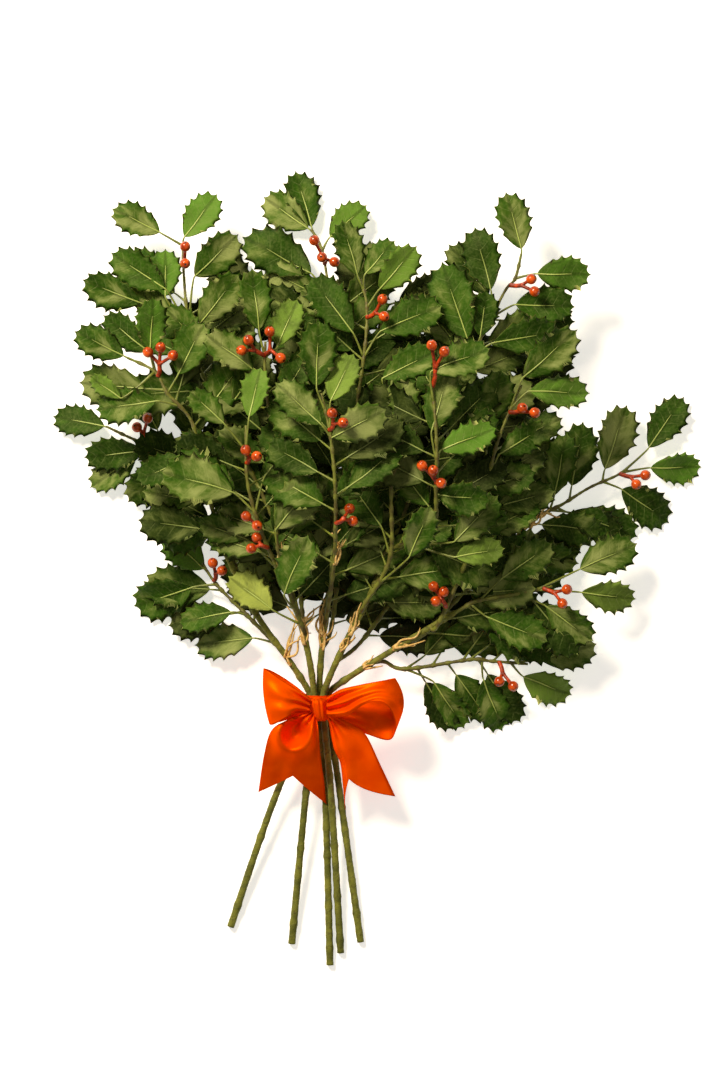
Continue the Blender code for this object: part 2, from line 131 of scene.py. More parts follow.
SPRAYS = {
    "upper_left": SprayPlan(
        twig=[(-68, 35, 43), (-95, 90, 46), (-115, 130, 44), (-122, 155, 41), (-126, 201, 32),
              (-125, 212, 29)],
        leaves=[(-141, 218, -170, 233), (-125, 215, -105, 242), (-118, 189, -91, 214), (-137, 181, -171, 203),
                (-137, 176, -137, 206), (-153, 172, -189, 185), (-115, 158, -90, 189), (-109, 141, -137, 168),
                (-93, 108, -72, 138)],
        berries=[[(-124, 208), (-124, 197)]],
        fresh=(1, 4),
    ),
    "left": SprayPlan(
        twig=[(-100, 15, 40), (-112, 60, 50), (-119, 94, 56), (-135, 113, 58), (-143, 127, 57),
              (-161, 136, 54)],
        leaves=[(-163, 137, -193, 152), (-147, 140, -176, 162), (-146, 140, -144, 173),
                (-128, 125, -112, 157), (-142, 108, -180, 103), (-165, 110, -184, 123), (-121, 71, -154, 58)],
        berries=[[(-147, 139), (-139, 142), (-131, 137)]],
        fresh=(2, 5),
    ),
    "mid_left": SprayPlan(
        twig=[(-92, 0, 30), (-106, 45, 24), (-119, 74, 20), (-152, 82, 14), (-177, 93, 9)],
        leaves=[(-178, 93, -211, 100, 9, 2.4), (-152, 77, -190, 73, 13, 5), (-124, 64, -159, 47, 16, 4),
                (-106, 30, -142, 18, 23, 15), (-104, 46, -74, 66)],
        berries=[[(-149, 98), (-156, 92)]],
    ),
    "top": SprayPlan(
        twig=[(-30, 45, 40), (-26, 100, 40), (-30, 150, 32), (-31, 175, 25), (-36, 207, 16), (-43, 221, 12)],
        leaves=[(-43, 223, -53, 259, 10, 2.6), (-45, 222, -74, 242, 10, 4), (-43, 192, -86, 216, 21, 15),
                (-31, 216, -8, 237, 15, 9)],
        berries=[[(-41, 213), (-36, 202), (-28, 199)]],
        fresh=(3,),
    ),
    "upper_middle": SprayPlan(
        twig=[(-29, 27, 43), (-18, 80, 53), (-9, 136, 56), (-7, 168, 52), (-11, 187, 48)],
        leaves=[(-13, 189, -22, 223), (-8, 190, 10, 211), (1, 180, 24, 206), (2, 153, 40, 170),
                (-16, 152, -42, 187)],
        berries=[[(3, 173), (4, 162)]],
        fresh=(2,),
    ),
    "upper_inner": SprayPlan(
        twig=[(-64, 14, 46), (-66, 70, 56), (-72, 120, 63), (-72, 146, 64)],
        leaves=[(-76, 153, -80, 191), (-64, 143, -52, 172), (-80, 128, -108, 150), (-62, 108, -44, 140)],
        berries=[[(-69, 152), (-62, 135)]],
        fresh=(1,),
    ),
    "upper_right": SprayPlan(
        twig=[(16, 34, 43), (35, 80, 50), (55, 125, 49), (65, 146, 47), (73, 162, 44), (83, 181, 38),
              (89, 188, 35), (93, 204, 31)],
        leaves=[(93, 207, 84, 242), (73, 180, 63, 219), (103, 191, 136, 190), (89, 171, 126, 170, 38, 36),
                (75, 146, 116, 153), (58, 148, 41, 195), (66, 150, 70, 178), (40, 110, 18, 146)],
        berries=[[(99, 187), (101, 179)]],
        fresh=(2,),
    ),
    "right_upper": SprayPlan(
        twig=[(40, -34, 38), (62, 20, 56), (76, 80, 68), (92, 118, 68)],
        leaves=[(93, 123, 126, 151), (97, 114, 134, 113), (70, 94, 79, 126), (66, 52, 100, 62),
                (78, 74, 108, 92)],
        berries=[[(92, 103), (100, 100)]],
        fresh=(1,),
    ),
    "far_right": SprayPlan(
        twig=[(30, -42, 24), (70, 0, 26), (102, 32, 23), (120, 42, 20), (138, 53, 16), (154, 60, 13),
              (163, 65, 11)],
        leaves=[(148, 65, 162, 105, 15, 10), (177, 79, 199, 112, 9, 3), (178, 66, 211, 66, 9, 2.3),
                (159, 52, 190, 31, 12, 3), (129, 36, 169, 21, 17, 7), (115, 49, 122, 87),
                (92, 12, 130, 3, 21, 14)],
        berries=[[(174, 61), (168, 55)]],
        fresh=(2,),
    ),
    "low_right": SprayPlan(
        twig=[(57, -24, 36), (66, -20, 38), (90, -16, 37), (113, -11, 33)],
        leaves=[(132, -15, 167, -20, 30, 22), (131, 0, 167, 16, 30, 24), (109, -24, 138, -46, 34, 33),
                (71, -31, 109, -46), (80, -6, 112, 16, 42, 40)],
        berries=[[(122, -13), (119, -22)]],
        fresh=(0,),
    ),
    "bottom_right": SprayPlan(
        twig=[(4, -60, 20), (18, -65, 19), (60, -59, 16), (74, -60, 14), (98, -62, 12)],
        leaves=[(37, -74, 56, -103, 14, 4), (69, -72, 82, -105, 12, 2.5), (95, -70, 126, -83, 11, 3),
                (106, -59, 142, -49, 11, 5), (31, -56, 51, -34, 15, 10), (72, -50, 96, -32, 13, 8)],
        berries=[[(79, -73), (88, -76)]],
        fresh=(2,),
    ),
    "bottom_left": SprayPlan(
        twig=[(-67, -48, 21), (-85, -30, 17), (-105, -10, 13), (-114, 4, 11)],
        leaves=[(-81, -45, -119, -49, 14, 3), (-121, -12, -158, -25, 11, 2.7), (-95, -28, -129, -34, 18, 12),
                (-113, 0, -139, 23, 11, 5)],
        berries=[[(-107, 4), (-101, -1)]],
        fresh=(3,),
    ),
    "centre_left": SprayPlan(
        twig=[(-57, -14, 43), (-72, 18, 66), (-83, 55, 78), (-84, 92, 80)],
        leaves=[(-98, 93, -119, 113), (-82, 97, -75, 128), (-92, 49, -136, 63), (-85, 20, -114, 30),
                (-72, 60, -50, 88)],
        berries=[[(-84, 76), (-77, 72)], [(-84, 34), (-77, 28)]],
        fresh=(1,),
    ),
    "low_centre": SprayPlan(
        twig=[(-49, -36, 38), (-58, -12, 53), (-65, 24, 68), (-59, 58, 70)],
        leaves=[(-65, 26, -39, 58, 70, 76), (-60, -16, -46, 20, 58, 70), (-68, -26, -95, -5, 46, 44),
                (-58, 62, -70, 94, 70, 64)],
        pale=(2,),
    ),
    "centre": SprayPlan(
        twig=[(-33, -30, 35), (-28, 5, 62), (-27, 47, 88), (-30, 84, 94), (-36, 112, 92)],
        leaves=[(-39, 116, -38, 157), (-30, 107, -16, 136), (-29, 84, 4, 101), (-26, 48, 4, 70),
                (-36, 92, -64, 118), (-29, 12, -8, 38)],
        berries=[[(-29, 99), (-22, 93)], [(-18, 39), (-16, 31)]],
        fresh=(1,),
    ),
    "centre_right": SprayPlan(
        twig=[(-8, -22, 42), (8, 8, 58), (9, 55, 72), (18, 88, 77), (5, 113, 75)],
        leaves=[(20, 8, 33, 38, 70, 83), (8, 60, 20, 84), (19, 91, 14, 122), (3, 122, 36, 139),
                (2, 28, -18, 56)],
    ),
    "right": SprayPlan(
        twig=[(6, 12, 46), (34, 25, 66), (37, 52, 84), (37, 85, 92), (34, 122, 88)],
        leaves=[(49, 18, 76, 46, 71, 73), (50, 8, 80, 14, 69, 68), (38, 48, 70, 44), (40, 76, 74, 90),
                (34, 88, 45, 126), (34, 126, 69, 141)],
        berries=[[(28, 66), (35, 63), (40, 55)], [(34, 142), (42, 138)]],
        fresh=(1, 3),
    ),
}

# Small clusters deep among the leaves: the spray each grows on, and its berries' places.
INNER_BERRIES = (
    ("right_upper", [(36.0, -11.0), (42.5, -14.5), (37.5, -20.5)]),
    ("upper_inner", [(-87.0, 140.0), (-82.5, 146.5)]),
    ("centre_left", [(-81.0, 13.5), (-77.5, 20.5)]),
)

# Undergrowth sprays carry their leaves by rule: in turn to the left and right, evenly along the twig.
UNDERGROWTH = {
    "under_left": [(-48, -38, 21), (-54, 20, 15), (-66, 90, 12), (-84, 150, 10), (-84, 162, 10)],
    "under_middle": [(-30, -38, 19), (-22, 20, 20), (-8, 80, 22), (-2, 140, 20), (6, 176, 17)],
    "under_right": [(-8, -44, 20), (28, 10, 14), (48, 62, 12), (70, 110, 11), (78, 132, 10)],
}


def unit(vectors: Array) -> Array:
    """The vectors, each one long."""
    return vectors / np.maximum(np.linalg.norm(vectors, axis=-1, keepdims=True), 1e-9)


def smooth_path(points: list[tuple[float, ...]] | Array, steps: int) -> Array:
    """Points on a Catmull-Rom curve through the given ones.

    Args:
        points: the places that the curve passes through.
        steps: how many parts each stretch is cut into.

    Returns:
        The curve's points, one to a row.
    """
    given = np.asarray(points, float)
    ends = np.concatenate([given[:1], given, given[-1:]])
    before, start, stop, after = (ends[i : len(ends) - 3 + i, None, :] for i in range(4))
    t = (np.arange(steps) / steps)[None, :, None]
    bend = 2 * before - 5 * start + 4 * stop - after
    twist = 3 * start - before - 3 * stop + after
    curve = start + 0.5 * t * ((stop - before) + t * bend + t * t * twist)
    return np.concatenate([curve.reshape(-1, 3), given[-1:]])


def evenly(path: Array, spacing: float) -> tuple[Array, Array]:
    """A path cut into equal parts, three at the least.

    Args:
        path: its points, one to a row.
        spacing: how long each part is, as nearly as goes into the whole.

    Returns:
        The points between the parts, and how far along the path each is.
    """
    runs = np.concatenate([[0.0], np.cumsum(np.linalg.norm(np.diff(path, axis=0), axis=1))])
    marks = np.linspace(0.0, runs[-1], max(int(runs[-1] / spacing), 3) + 1)
    return np.stack([np.interp(marks, runs, path[:, axis]) for axis in range(3)], axis=1), marks


def root_on_stem(start: Array) -> Array:
    """The place on a main stem that a twig grows from.

    Args:
        start: where the twig's own course starts, clear of the stem.

    Returns:
        The nearest stem's axis, as far back towards the tie as the twig is from it and a bit more.
    """
    courses = [evenly(smooth_path(points, STEM_STEPS), 1.0)[0] for points in STEMS.values()]
    courses = [course[course[:, 1] > TIE[1]] for course in courses]
    gaps = [np.linalg.norm(course - start, axis=1) for course in courses]
    course, gap = min(zip(courses, gaps), key=lambda pair: pair[1].min())
    back = int(np.clip(1.4 * gap.min(), 8, 26))  # in points, which are a millimetre apart
    return course[max(int(gap.argmin()) - back, 0)]


def swept(paths: Array, radii: Array, sides: int) -> tuple[Array, Array]:
    """Round tubes: a circle carried along each path, square to it, and drawn in to a point at both ends.

    Args:
        paths: places along each tube, shaped (tubes, places, 3).
        radii: the radius at each place, shaped (tubes, places).
        sides: how many faces go round a tube.

    Returns:
        The points, shaped (tubes, places + 2, sides + 1, 3), and each one's (turn, millimetres along).
    """
    along = unit(np.gradient(paths, axis=1))
    steep = np.abs(along[..., 2]).mean(axis=1)[:, None, None] > 0.8
    reference = np.where(steep, np.array([0.0, 1.0, 0.0]), UP)
    across = unit(np.cross(along, reference))
    over = np.cross(across, along)
    turn = np.linspace(0.0, 1.0, sides + 1)
    ring = (np.cos(2 * np.pi * turn)[:, None] * across[:, :, None]
            + np.sin(2 * np.pi * turn)[:, None] * over[:, :, None])
    wall = paths[:, :, None] + radii[:, :, None, None] * ring
    start = np.repeat(paths[:, :1, None], sides + 1, axis=2)
    stop = np.repeat(paths[:, -1:, None], sides + 1, axis=2)
    steps = np.linalg.norm(np.diff(paths, axis=1), axis=2)
    marks = np.concatenate([np.zeros((len(paths), 1)), np.cumsum(steps, axis=1)], axis=1)
    marks = np.concatenate([marks[:, :1], marks, marks[:, -1:]], axis=1)
    uv = np.stack(np.broadcast_arrays(turn[None, None, :], marks[:, :, None]), axis=-1)
    return np.concatenate([start, wall, stop], axis=1), uv


@dataclass
class Patchwork:
    """Grids of points gathered into one mesh.

    Attributes:
        name: the piece's name.
        grids: for each batch, its points, surface places, material slots and marks.
    """

    name: str
    grids: list[tuple[Array, Array, Array, dict[str, Array]]] = field(default_factory=list)

    def add(self, points: Array, uv: Array, slots: Array | int = 0, **marks: Array | float) -> None:
        """Add a batch of grids.

        Args:
            points: shaped (grids, rows, columns, 3), in millimetres.
            uv: shaped as the points but with 2 numbers, or the same for all and shaped (rows, columns, 2).
            slots: the material slot of each column of faces, or one for all.
            marks: a number for each grid, kept on its points.
        """
        count, rows, columns = points.shape[:3]
        places = np.broadcast_to(uv, (count, rows, columns, 2))
        face_slots = np.broadcast_to(np.asarray(slots), (columns - 1,))
        spread = {key: np.broadcast_to(np.reshape(value, (-1, 1)), (count, rows * columns)).ravel()
                  for key, value in marks.items()}
        self.grids.append((points, places, face_slots, spread))

    def make(self, materials: list[bpy.types.Material]) -> bpy.types.Object:
        """One smooth mesh object of everything gathered, its seams and poles welded shut.

        Args:
            materials: the materials, in the order of the slots.

        Returns:
            The object, linked to the scene.
        """
        points, corners, places, slots, marks = [], [], [], [], {}
        first = 0
        for grid, uv, face_slots, spread in self.grids:
            count, rows, columns = grid.shape[:3]
            ids = first + np.arange(count * rows * columns).reshape(count, rows, columns)
            quads = np.stack([ids[:, :-1, :-1], ids[:, :-1, 1:], ids[:, 1:, 1:], ids[:, 1:, :-1]], axis=-1)
            corners.append(quads.reshape(-1, 4))
            slots.append(np.broadcast_to(face_slots, (count, rows - 1, columns - 1)).ravel())
            points.append(grid.reshape(-1, 3))
            places.append(uv.reshape(-1, 2))
            for key in ("tone", "seed"):
                marks.setdefault(key, []).append(spread.get(key, np.zeros(grid.size // 3)))
            first += grid.size // 3
        return self._put(np.concatenate(points) * MM, np.concatenate(corners), np.concatenate(places),
                         np.concatenate(slots), {key: np.concatenate(found) for key, found in marks.items()},
                         materials)

    def _put(self, points: Array, corners: Array, places: Array, slots: Array,
             marks: dict[str, Array], materials: list[bpy.types.Material]) -> bpy.types.Object:
        """Write the arrays into a new mesh object, weld it and give it its materials.

        Args:
            points: the places, in metres.
            corners: each face's four points, by number.
            places: each point's place on the surface.
            slots: each face's material slot.
            marks: a number for each point, under each name.
            materials: the materials, in the order of the slots.

        Returns:
            The object, linked to the scene.
        """
        mesh = bpy.data.meshes.new(self.name)
        mesh.vertices.add(len(points))
        mesh.vertices.foreach_set("co", points.astype(np.float32).ravel())
        mesh.loops.add(corners.size)
        mesh.loops.foreach_set("vertex_index", corners.astype(np.int32).ravel())
        mesh.polygons.add(len(corners))
        mesh.polygons.foreach_set("loop_start", np.arange(len(corners), dtype=np.int32) * 4)
        mesh.polygons.foreach_set("material_index", slots.astype(np.int32))
        mesh.update(calc_edges=True)
        layer = mesh.uv_layers.new(name="Surface")
        layer.uv.foreach_set("vector", places[corners.ravel()].astype(np.float32).ravel())
        for key, values in marks.items():
            mesh.attributes.new(key, "FLOAT", "POINT").data.foreach_set("value", values.astype(np.float32))
        weld(mesh)
        mesh.shade_smooth()
        for material in materials:
            mesh.materials.append(material)
        made = bpy.data.objects.new(self.name, mesh)
        bpy.context.scene.collection.objects.link(made)
        return made


def area(surface: Array) -> float:
    """The area of a grid of points: half the cross product of each cell's diagonals, summed."""
    diagonals = surface[1:, 1:] - surface[:-1, :-1], surface[1:, :-1] - surface[:-1, 1:]
    return float(np.linalg.norm(np.cross(*diagonals), axis=-1).sum() / 2.0)


def weld(mesh: bpy.types.Mesh) -> None:
    """Make one point of those that coincide, which closes seams and poles.

    Args:
        mesh: the mesh to change.
    """
    cage = bmesh.new()
    cage.from_mesh(mesh)
    bmesh.ops.remove_doubles(cage, verts=cage.verts, dist=WELD_WITHIN)
    cage.to_mesh(mesh)
    cage.free()


def colour(code: str) -> tuple[float, float, float, float]:
    """An sRGB hex colour turned linear, with full alpha."""
    parts = [int(code[i : i + 2], 16) / 255 for i in (1, 3, 5)]
    return (*(p / 12.92 if p <= 0.04045 else ((p + 0.055) / 1.055) ** 2.4 for p in parts), 1.0)


def fill(tree: bpy.types.NodeTree, node: bpy.types.Node, inputs: dict) -> None:
    """Link each input that is given a socket, and set each that is given a constant.

    Args:
        tree: the material's node tree.
        node: the node whose inputs they are.
        inputs: a socket or a value for each input, by name or number.
    """
    for key, value in inputs.items():
        if isinstance(value, bpy.types.NodeSocket):
            tree.links.new(value, node.inputs[key])
        else:
            node.inputs[key].default_value = value


def add_node(tree: bpy.types.NodeTree, kind: str, inputs: dict | tuple = (), out: int | str = 0,
             **settings: str) -> bpy.types.NodeSocket:
    """Add a node, set its properties, link or set its inputs, and hand on one of its outputs.

    Args:
        tree: the material's node tree.
        kind: the node's type, without its ShaderNode prefix.
        inputs: a socket or a value for each input, by name or number, or in order.
        out: the output's name or number.
        settings: the node's own properties.

    Returns:
        The output's socket.
    """
    node = tree.nodes.new("ShaderNode" + kind)
    for key, value in settings.items():
        setattr(node, key, value)
    fill(tree, node, inputs if isinstance(inputs, dict) else dict(enumerate(inputs)))
    return node.outputs[out]


@dataclass(frozen=True)
class Finish:
    """What every finish shares: a Principled shader with settings that are the same all over.

    In the patterns, a Mix lays input 7 over input 6 by the share in input 0, and a MapRange takes a
    value, two limits and what these become, and clamps it.

    Attributes:
        name: the material's name.
        roughness: the shader's.
        specular: the shader's specular level.
    """

    name: str
    roughness: float = 0.5
    specular: float = 0.5

    def material(self) -> bpy.types.Material:
        """The finish as a material.

        Returns:
            The material, its pattern's sockets linked into the shader.
        """
        made = bpy.data.materials.new(self.name)
        made.use_nodes = True
        tree = made.node_tree
        settings = {"Roughness": self.roughness, "Specular IOR Level": self.specular}
        fill(tree, tree.nodes["Principled BSDF"], settings | self.pattern(partial(add_node, tree)))
        return made

    def pattern(self, add: Adder) -> dict[str, Any]:
        """The finish's own pattern.

        Args:
            add: adds a node to the material and hands on its output.

        Returns:
            A socket or a value for each of the shader's inputs that it sets.
        """
        raise NotImplementedError

    @staticmethod
    def surface(add: Adder) -> tuple[bpy.types.NodeSocket, bpy.types.NodeSocket]:
        """How far a point is across the piece's own surface, and how far along it."""
        split = add("SeparateXYZ", (add("UVMap", uv_map="Surface"),)).node
        return split.outputs[0], split.outputs[1]


@dataclass(frozen=True)
class PrintedLeafTop(Finish):
    """Polyester cloth printed with leaf greens and pressed with veins, then coated.

    The print gives each grown leaf grey-green clouds that run out between its side veins over a dark
    green, and the coat a soft satin gleam that breaks along the pressed veins. A painted shadow runs
    beside the raised midrib, and leaves of low tone are painted dark as shade.

    Attributes:
        grain_mm: the size of the cloth's grain.
        mottle_mm: the size of the print's pale flecks.
        gleam_mm: the size of the patches in which the coat is rougher or smoother.
        cloud_scale: how many clouds there are to a leaf's length.
        vein_count: the side veins to each side.
        vein_slant: how far a side vein runs towards the tip on its way out, in vein gaps.
        relief_mm: the depth of the pressing.
    """

    roughness: float = 0.54
    specular: float = 0.2
    grain_mm: float = 1.1
    mottle_mm: float = 1.7
    gleam_mm: float = 3.0
    cloud_scale: float = 1.45
    vein_count: float = 6.0
    vein_slant: float = 1.1
    relief_mm: float = 0.5
    cloud: str = "#56682a"
    cloud_middle: str = "#8c985e"
    gap: str = "#112403"
    fleck: str = "#6f8046"
    vein: str = "#a5b873"
    margin: str = "#8a8a40"
    # Painted shadow beside the raised midrib.
    rib_shadow: str = "#182a04"
    # Painted shade for leaves of low tone.
    old: str = "#0c1205"
    gleam: str = "#d6e0a0"

    def pattern(self, add: Adder) -> dict[str, Any]:
        """Greens by age, clouds between the side veins, a painted shadow beside the midrib, painted shade on
        leaves of low tone, and veins pressed in.

        Args:
            add: adds a node to the material and hands on its output.

        Returns:
            The shader's colour, tint, roughness and normal.
        """
        place = add("TexCoord", out="Object")
        across, along = self.surface(add)
        tone = add("Attribute", attribute_name="tone", out="Fac")
        seed = add("Attribute", attribute_name="seed", out="Fac")
        off_middle = add("Math", (add("Math", (across, 0.5), operation="SUBTRACT"),), operation="ABSOLUTE")
        aside = add("Math", (off_middle, 2.0), operation="MULTIPLY")
        painted = add("ValToRGB", (tone,))
        self.fill_greens(painted.node.color_ramp)

        # The clouds are drawn on the blade itself, and each leaf's number moves them.
        slanted = add("Math", (aside, -0.25, along), operation="MULTIPLY_ADD")
        cloud_place = add("CombineXYZ", (add("Math", (seed, 40.0, across), operation="MULTIPLY_ADD"),
                                         add("Math", (slanted, 1.5), operation="MULTIPLY"), seed))
        clouds = add("TexNoise", {"Vector": cloud_place, "Scale": self.cloud_scale, "Detail": 6.0,
                                  "Roughness": 0.6, "Distortion": 0.1})
        inner = add("MapRange", (aside, 0.6, 1.0, 0.0, -0.1))
        shy = add("MapRange", (seed, 0.0, 1.0, -0.15, 0.12))
        clouds = add("Math", (add("Math", (clouds, inner), operation="ADD"), shy), operation="ADD")
        cloud = add("MapRange", (clouds, 0.43, 0.58))
        grown = add("MapRange", (tone, 0.42, 0.7, 0.76, 0.12))
        share = add("Math", (cloud, grown), operation="MULTIPLY")
        painted = add("Mix", {0: share, 6: painted, 7: colour(self.cloud)}, 2, data_type="RGBA")
        middle = add("MapRange", (clouds, 0.5, 0.68))
        share = add("Math", (middle, grown), operation="MULTIPLY")
        painted = add("Mix", {0: share, 6: painted, 7: colour(self.cloud_middle)}, 2, data_type="RGBA")
        between = add("MapRange", (clouds, 0.46, 0.3, 0.0, 0.55))
        painted = add("Mix", {0: between, 6: painted, 7: colour(self.gap)}, 2, data_type="RGBA")
        mottle = add("TexNoise", {"Vector": place, "Scale": PER_METRE / self.mottle_mm, "Detail": 4.0})
        mottle = add("MapRange", (mottle, 0.42, 0.68, 0.0, 0.19))
        painted = add("Mix", {0: mottle, 6: painted, 7: colour(self.fleck)}, 2, data_type="RGBA")

        # Side veins: a sawtooth along the blade that is put off further the nearer the margin.
        phase = add("Math", (along, self.vein_count, seed), operation="MULTIPLY_ADD")
        delay = add("Math", (aside, self.vein_slant), operation="MULTIPLY")
        phase = add("Math", (phase, delay), operation="SUBTRACT")
        vein = add("MapRange", (add("Math", (phase, 0.5), operation="PINGPONG"), 0.0, 0.07, 1.0, 0.0))
        fading = add("MapRange", (aside, 0.8, 0.2))
        vein = add("Math", (vein, fading), operation="MULTIPLY")
        share = add("Math", (vein, 0.16), operation="MULTIPLY")
        painted = add("Mix", {0: share, 6: painted, 7: colour(self.vein)}, 2, data_type="RGBA")

        rim = add("MapRange", (aside, 0.93, 1.0, 0.0, 0.3))
        painted = add("Mix", {0: rim, 6: painted, 7: colour(self.margin)}, 2, data_type="RGBA")
        # Painted shadow: a dark band along each side of the raised midrib.
        rib_shadow_share = add("MapRange", (aside, 0.06, 0.16, 0.45, 0.0))
        painted = add("Mix", {0: rib_shadow_share, 6: painted, 7: colour(self.rib_shadow)}, 2, data_type="RGBA")
        # Painted shade: leaves of low tone are darkened towards near black.
        shade = add("MapRange", (tone, 0.0, 0.3, 0.75, 0.0))
        painted = add("Mix", {0: shade, 6: painted, 7: colour(self.old)}, 2, data_type="RGBA")

        patches = add("TexNoise", {"Vector": place, "Scale": PER_METRE / self.gleam_mm, "Detail": 2.0})
        rough = add("MapRange", (patches, 0.3, 0.7, self.roughness - 0.08, self.roughness + 0.12))
        grain = add("TexNoise", {"Vector": place, "Scale": PER_METRE / self.grain_mm, "Detail": 2.0})
        relief = add("Math", (vein, -0.8, grain), operation="MULTIPLY_ADD")
        relief = add("Math", (cloud, 0.25, relief), operation="MULTIPLY_ADD")
        normal = add("Bump", {"Height": relief, "Strength": 0.5, "Distance": self.relief_mm * MM})
        return {"Base Color": painted, "Specular Tint": colour(self.gleam), "Roughness": rough,
                "Normal": normal}

    @staticmethod
    def fill_greens(ramp: bpy.types.ColorRamp) -> None:
        """Set the scale of greens from the near-black painted shade of deep leaves to pale young ones.

        Args:
            ramp: the scale, with two elements as it is made.
        """
        # The deep end's near black is painted shade.
        shades = {Tone.DEEP_SHADE: "#0e1901", Tone.GROWN: "#264a06", Tone.FRESH: "#4c7722", Tone.PALE: "#a3ae56"}
        ramp.elements[0].position, ramp.elements[1].position = Tone.DEEP_SHADE.value, Tone.PALE.value
        for tone in (Tone.GROWN, Tone.FRESH):
            ramp.elements.new(tone.value)
        for element, shade in zip(ramp.elements, shades.values()):
            element.color = colour(shade)


@dataclass(frozen=True)
class MouldedRib(Finish):
    """Polyethylene stalk and midrib in one moulding: olive where bare, pale where it lies on the leaf."""

    roughness: float = 0.45
    cloud_mm: float = 4.0
    shaded_rib: str = "#66753a"
    rib: str = "#a2b65e"
    stalk: str = "#75822f"
    stalk_dark: str = "#5a6524"

    def pattern(self, add: Adder) -> dict[str, Any]:
        """Olive that turns pale green at the blade's base, dulled as painted shade on leaves of low tone.

        Args:
            add: adds a node to the material and hands on its output.

        Returns:
            The shader's colour.
        """
        place = add("TexCoord", out="Object")
        _, along = self.surface(add)
        tone = add("Attribute", attribute_name="tone", out="Fac")
        # Painted shade: the rib is dulled on leaves of low tone.
        young = add("MapRange", (tone, 0.05, 0.4))
        rib = add("Mix", {0: young, 6: colour(self.shaded_rib), 7: colour(self.rib)}, 2, data_type="RGBA")
        cloud = add("TexNoise", {"Vector": place, "Scale": PER_METRE / self.cloud_mm, "Detail": 2.0})
        cloud = add("MapRange", (cloud, 0.35, 0.65))
        stalk = add("Mix", {0: cloud, 6: colour(self.stalk), 7: colour(self.stalk_dark)}, 2, data_type="RGBA")
        on_blade = add("MapRange", (along, 0.7, 1.15))
        return {"Base Color": add("Mix", {0: on_blade, 6: stalk, 7: rib}, 2, data_type="RGBA")}


@dataclass(frozen=True)
class PrintedLeafUnderside(Finish):
    """The uncoated back of the printed cloth: paler, greyer and quite matt."""

    roughness: float = 0.75
    specular: float = 0.25
    cloud_mm: float = 5.0
    # The dark end of the back's scale, which is painted shade on the deepest leaves.
    old: str = "#3d5420"
    young: str = "#b4bd6a"
    cloud: str = "#7c8850"
    rib: str = "#b5c58a"

    def pattern(self, add: Adder) -> dict[str, Any]:
        """A pale green that follows the leaf's age and is darkest as painted shade at the deep end, clouded
        like thin dye, with a pale middle line.

        Args:
            add: adds a node to the material and hands on its output.

        Returns:
            The shader's colour.
        """
        place = add("TexCoord", out="Object")
        tone = add("Attribute", attribute_name="tone", out="Fac")
        across, _ = self.surface(add)
        # Partly age and partly painted shade: the back darkens with the tone, and its deep end is shade.
        base = add("Mix", {0: tone, 6: colour(self.old), 7: colour(self.young)}, 2, data_type="RGBA")
        cloud = add("TexNoise", {"Vector": place, "Scale": PER_METRE / self.cloud_mm, "Detail": 2.0})
        cloud = add("MapRange", (cloud, 0.35, 0.7, 0.0, 0.5))
        base = add("Mix", {0: cloud, 6: base, 7: colour(self.cloud)}, 2, data_type="RGBA")
        aside = add("Math", (add("Math", (across, 0.5), operation="SUBTRACT"),), operation="ABSOLUTE")
        line = add("MapRange", (aside, 0.015, 0.035, 0.8, 0.0))
        return {"Base Color": add("Mix", {0: line, 6: base, 7: colour(self.rib)}, 2, data_type="RGBA")}


@dataclass(frozen=True)
class MouldedTwig(Finish):
    """Polyethylene moulded over wire and washed with paint that stays in its hollows."""

    roughness: float = 0.58
    light: str = "#6a7222"
    dark: str = "#4f4a1a"
    patch_mm: float = 5.0
    pit_mm: float = 1.4
    relief_mm: float = 0.6

    def pattern(self, add: Adder) -> dict[str, Any]:
        """Two mottled colours on a pitted surface.

        Args:
            add: adds a node to the material and hands on its output.

        Returns:
            The shader's colour and normal.
        """
        place = add("TexCoord", out="Object")
        wash = add("TexNoise", {"Vector": place, "Scale": PER_METRE / self.patch_mm, "Detail": 3.0})
        wash = add("MapRange", (wash, 0.38, 0.62))
        base = add("Mix", {0: wash, 6: colour(self.light), 7: colour(self.dark)}, 2, data_type="RGBA")
        pits = add("TexNoise", {"Vector": place, "Scale": PER_METRE / self.pit_mm, "Detail": 3.0})
        normal = add("Bump", {"Height": pits, "Strength": 0.6, "Distance": self.relief_mm * MM})
        return {"Base Color": base, "Normal": normal}


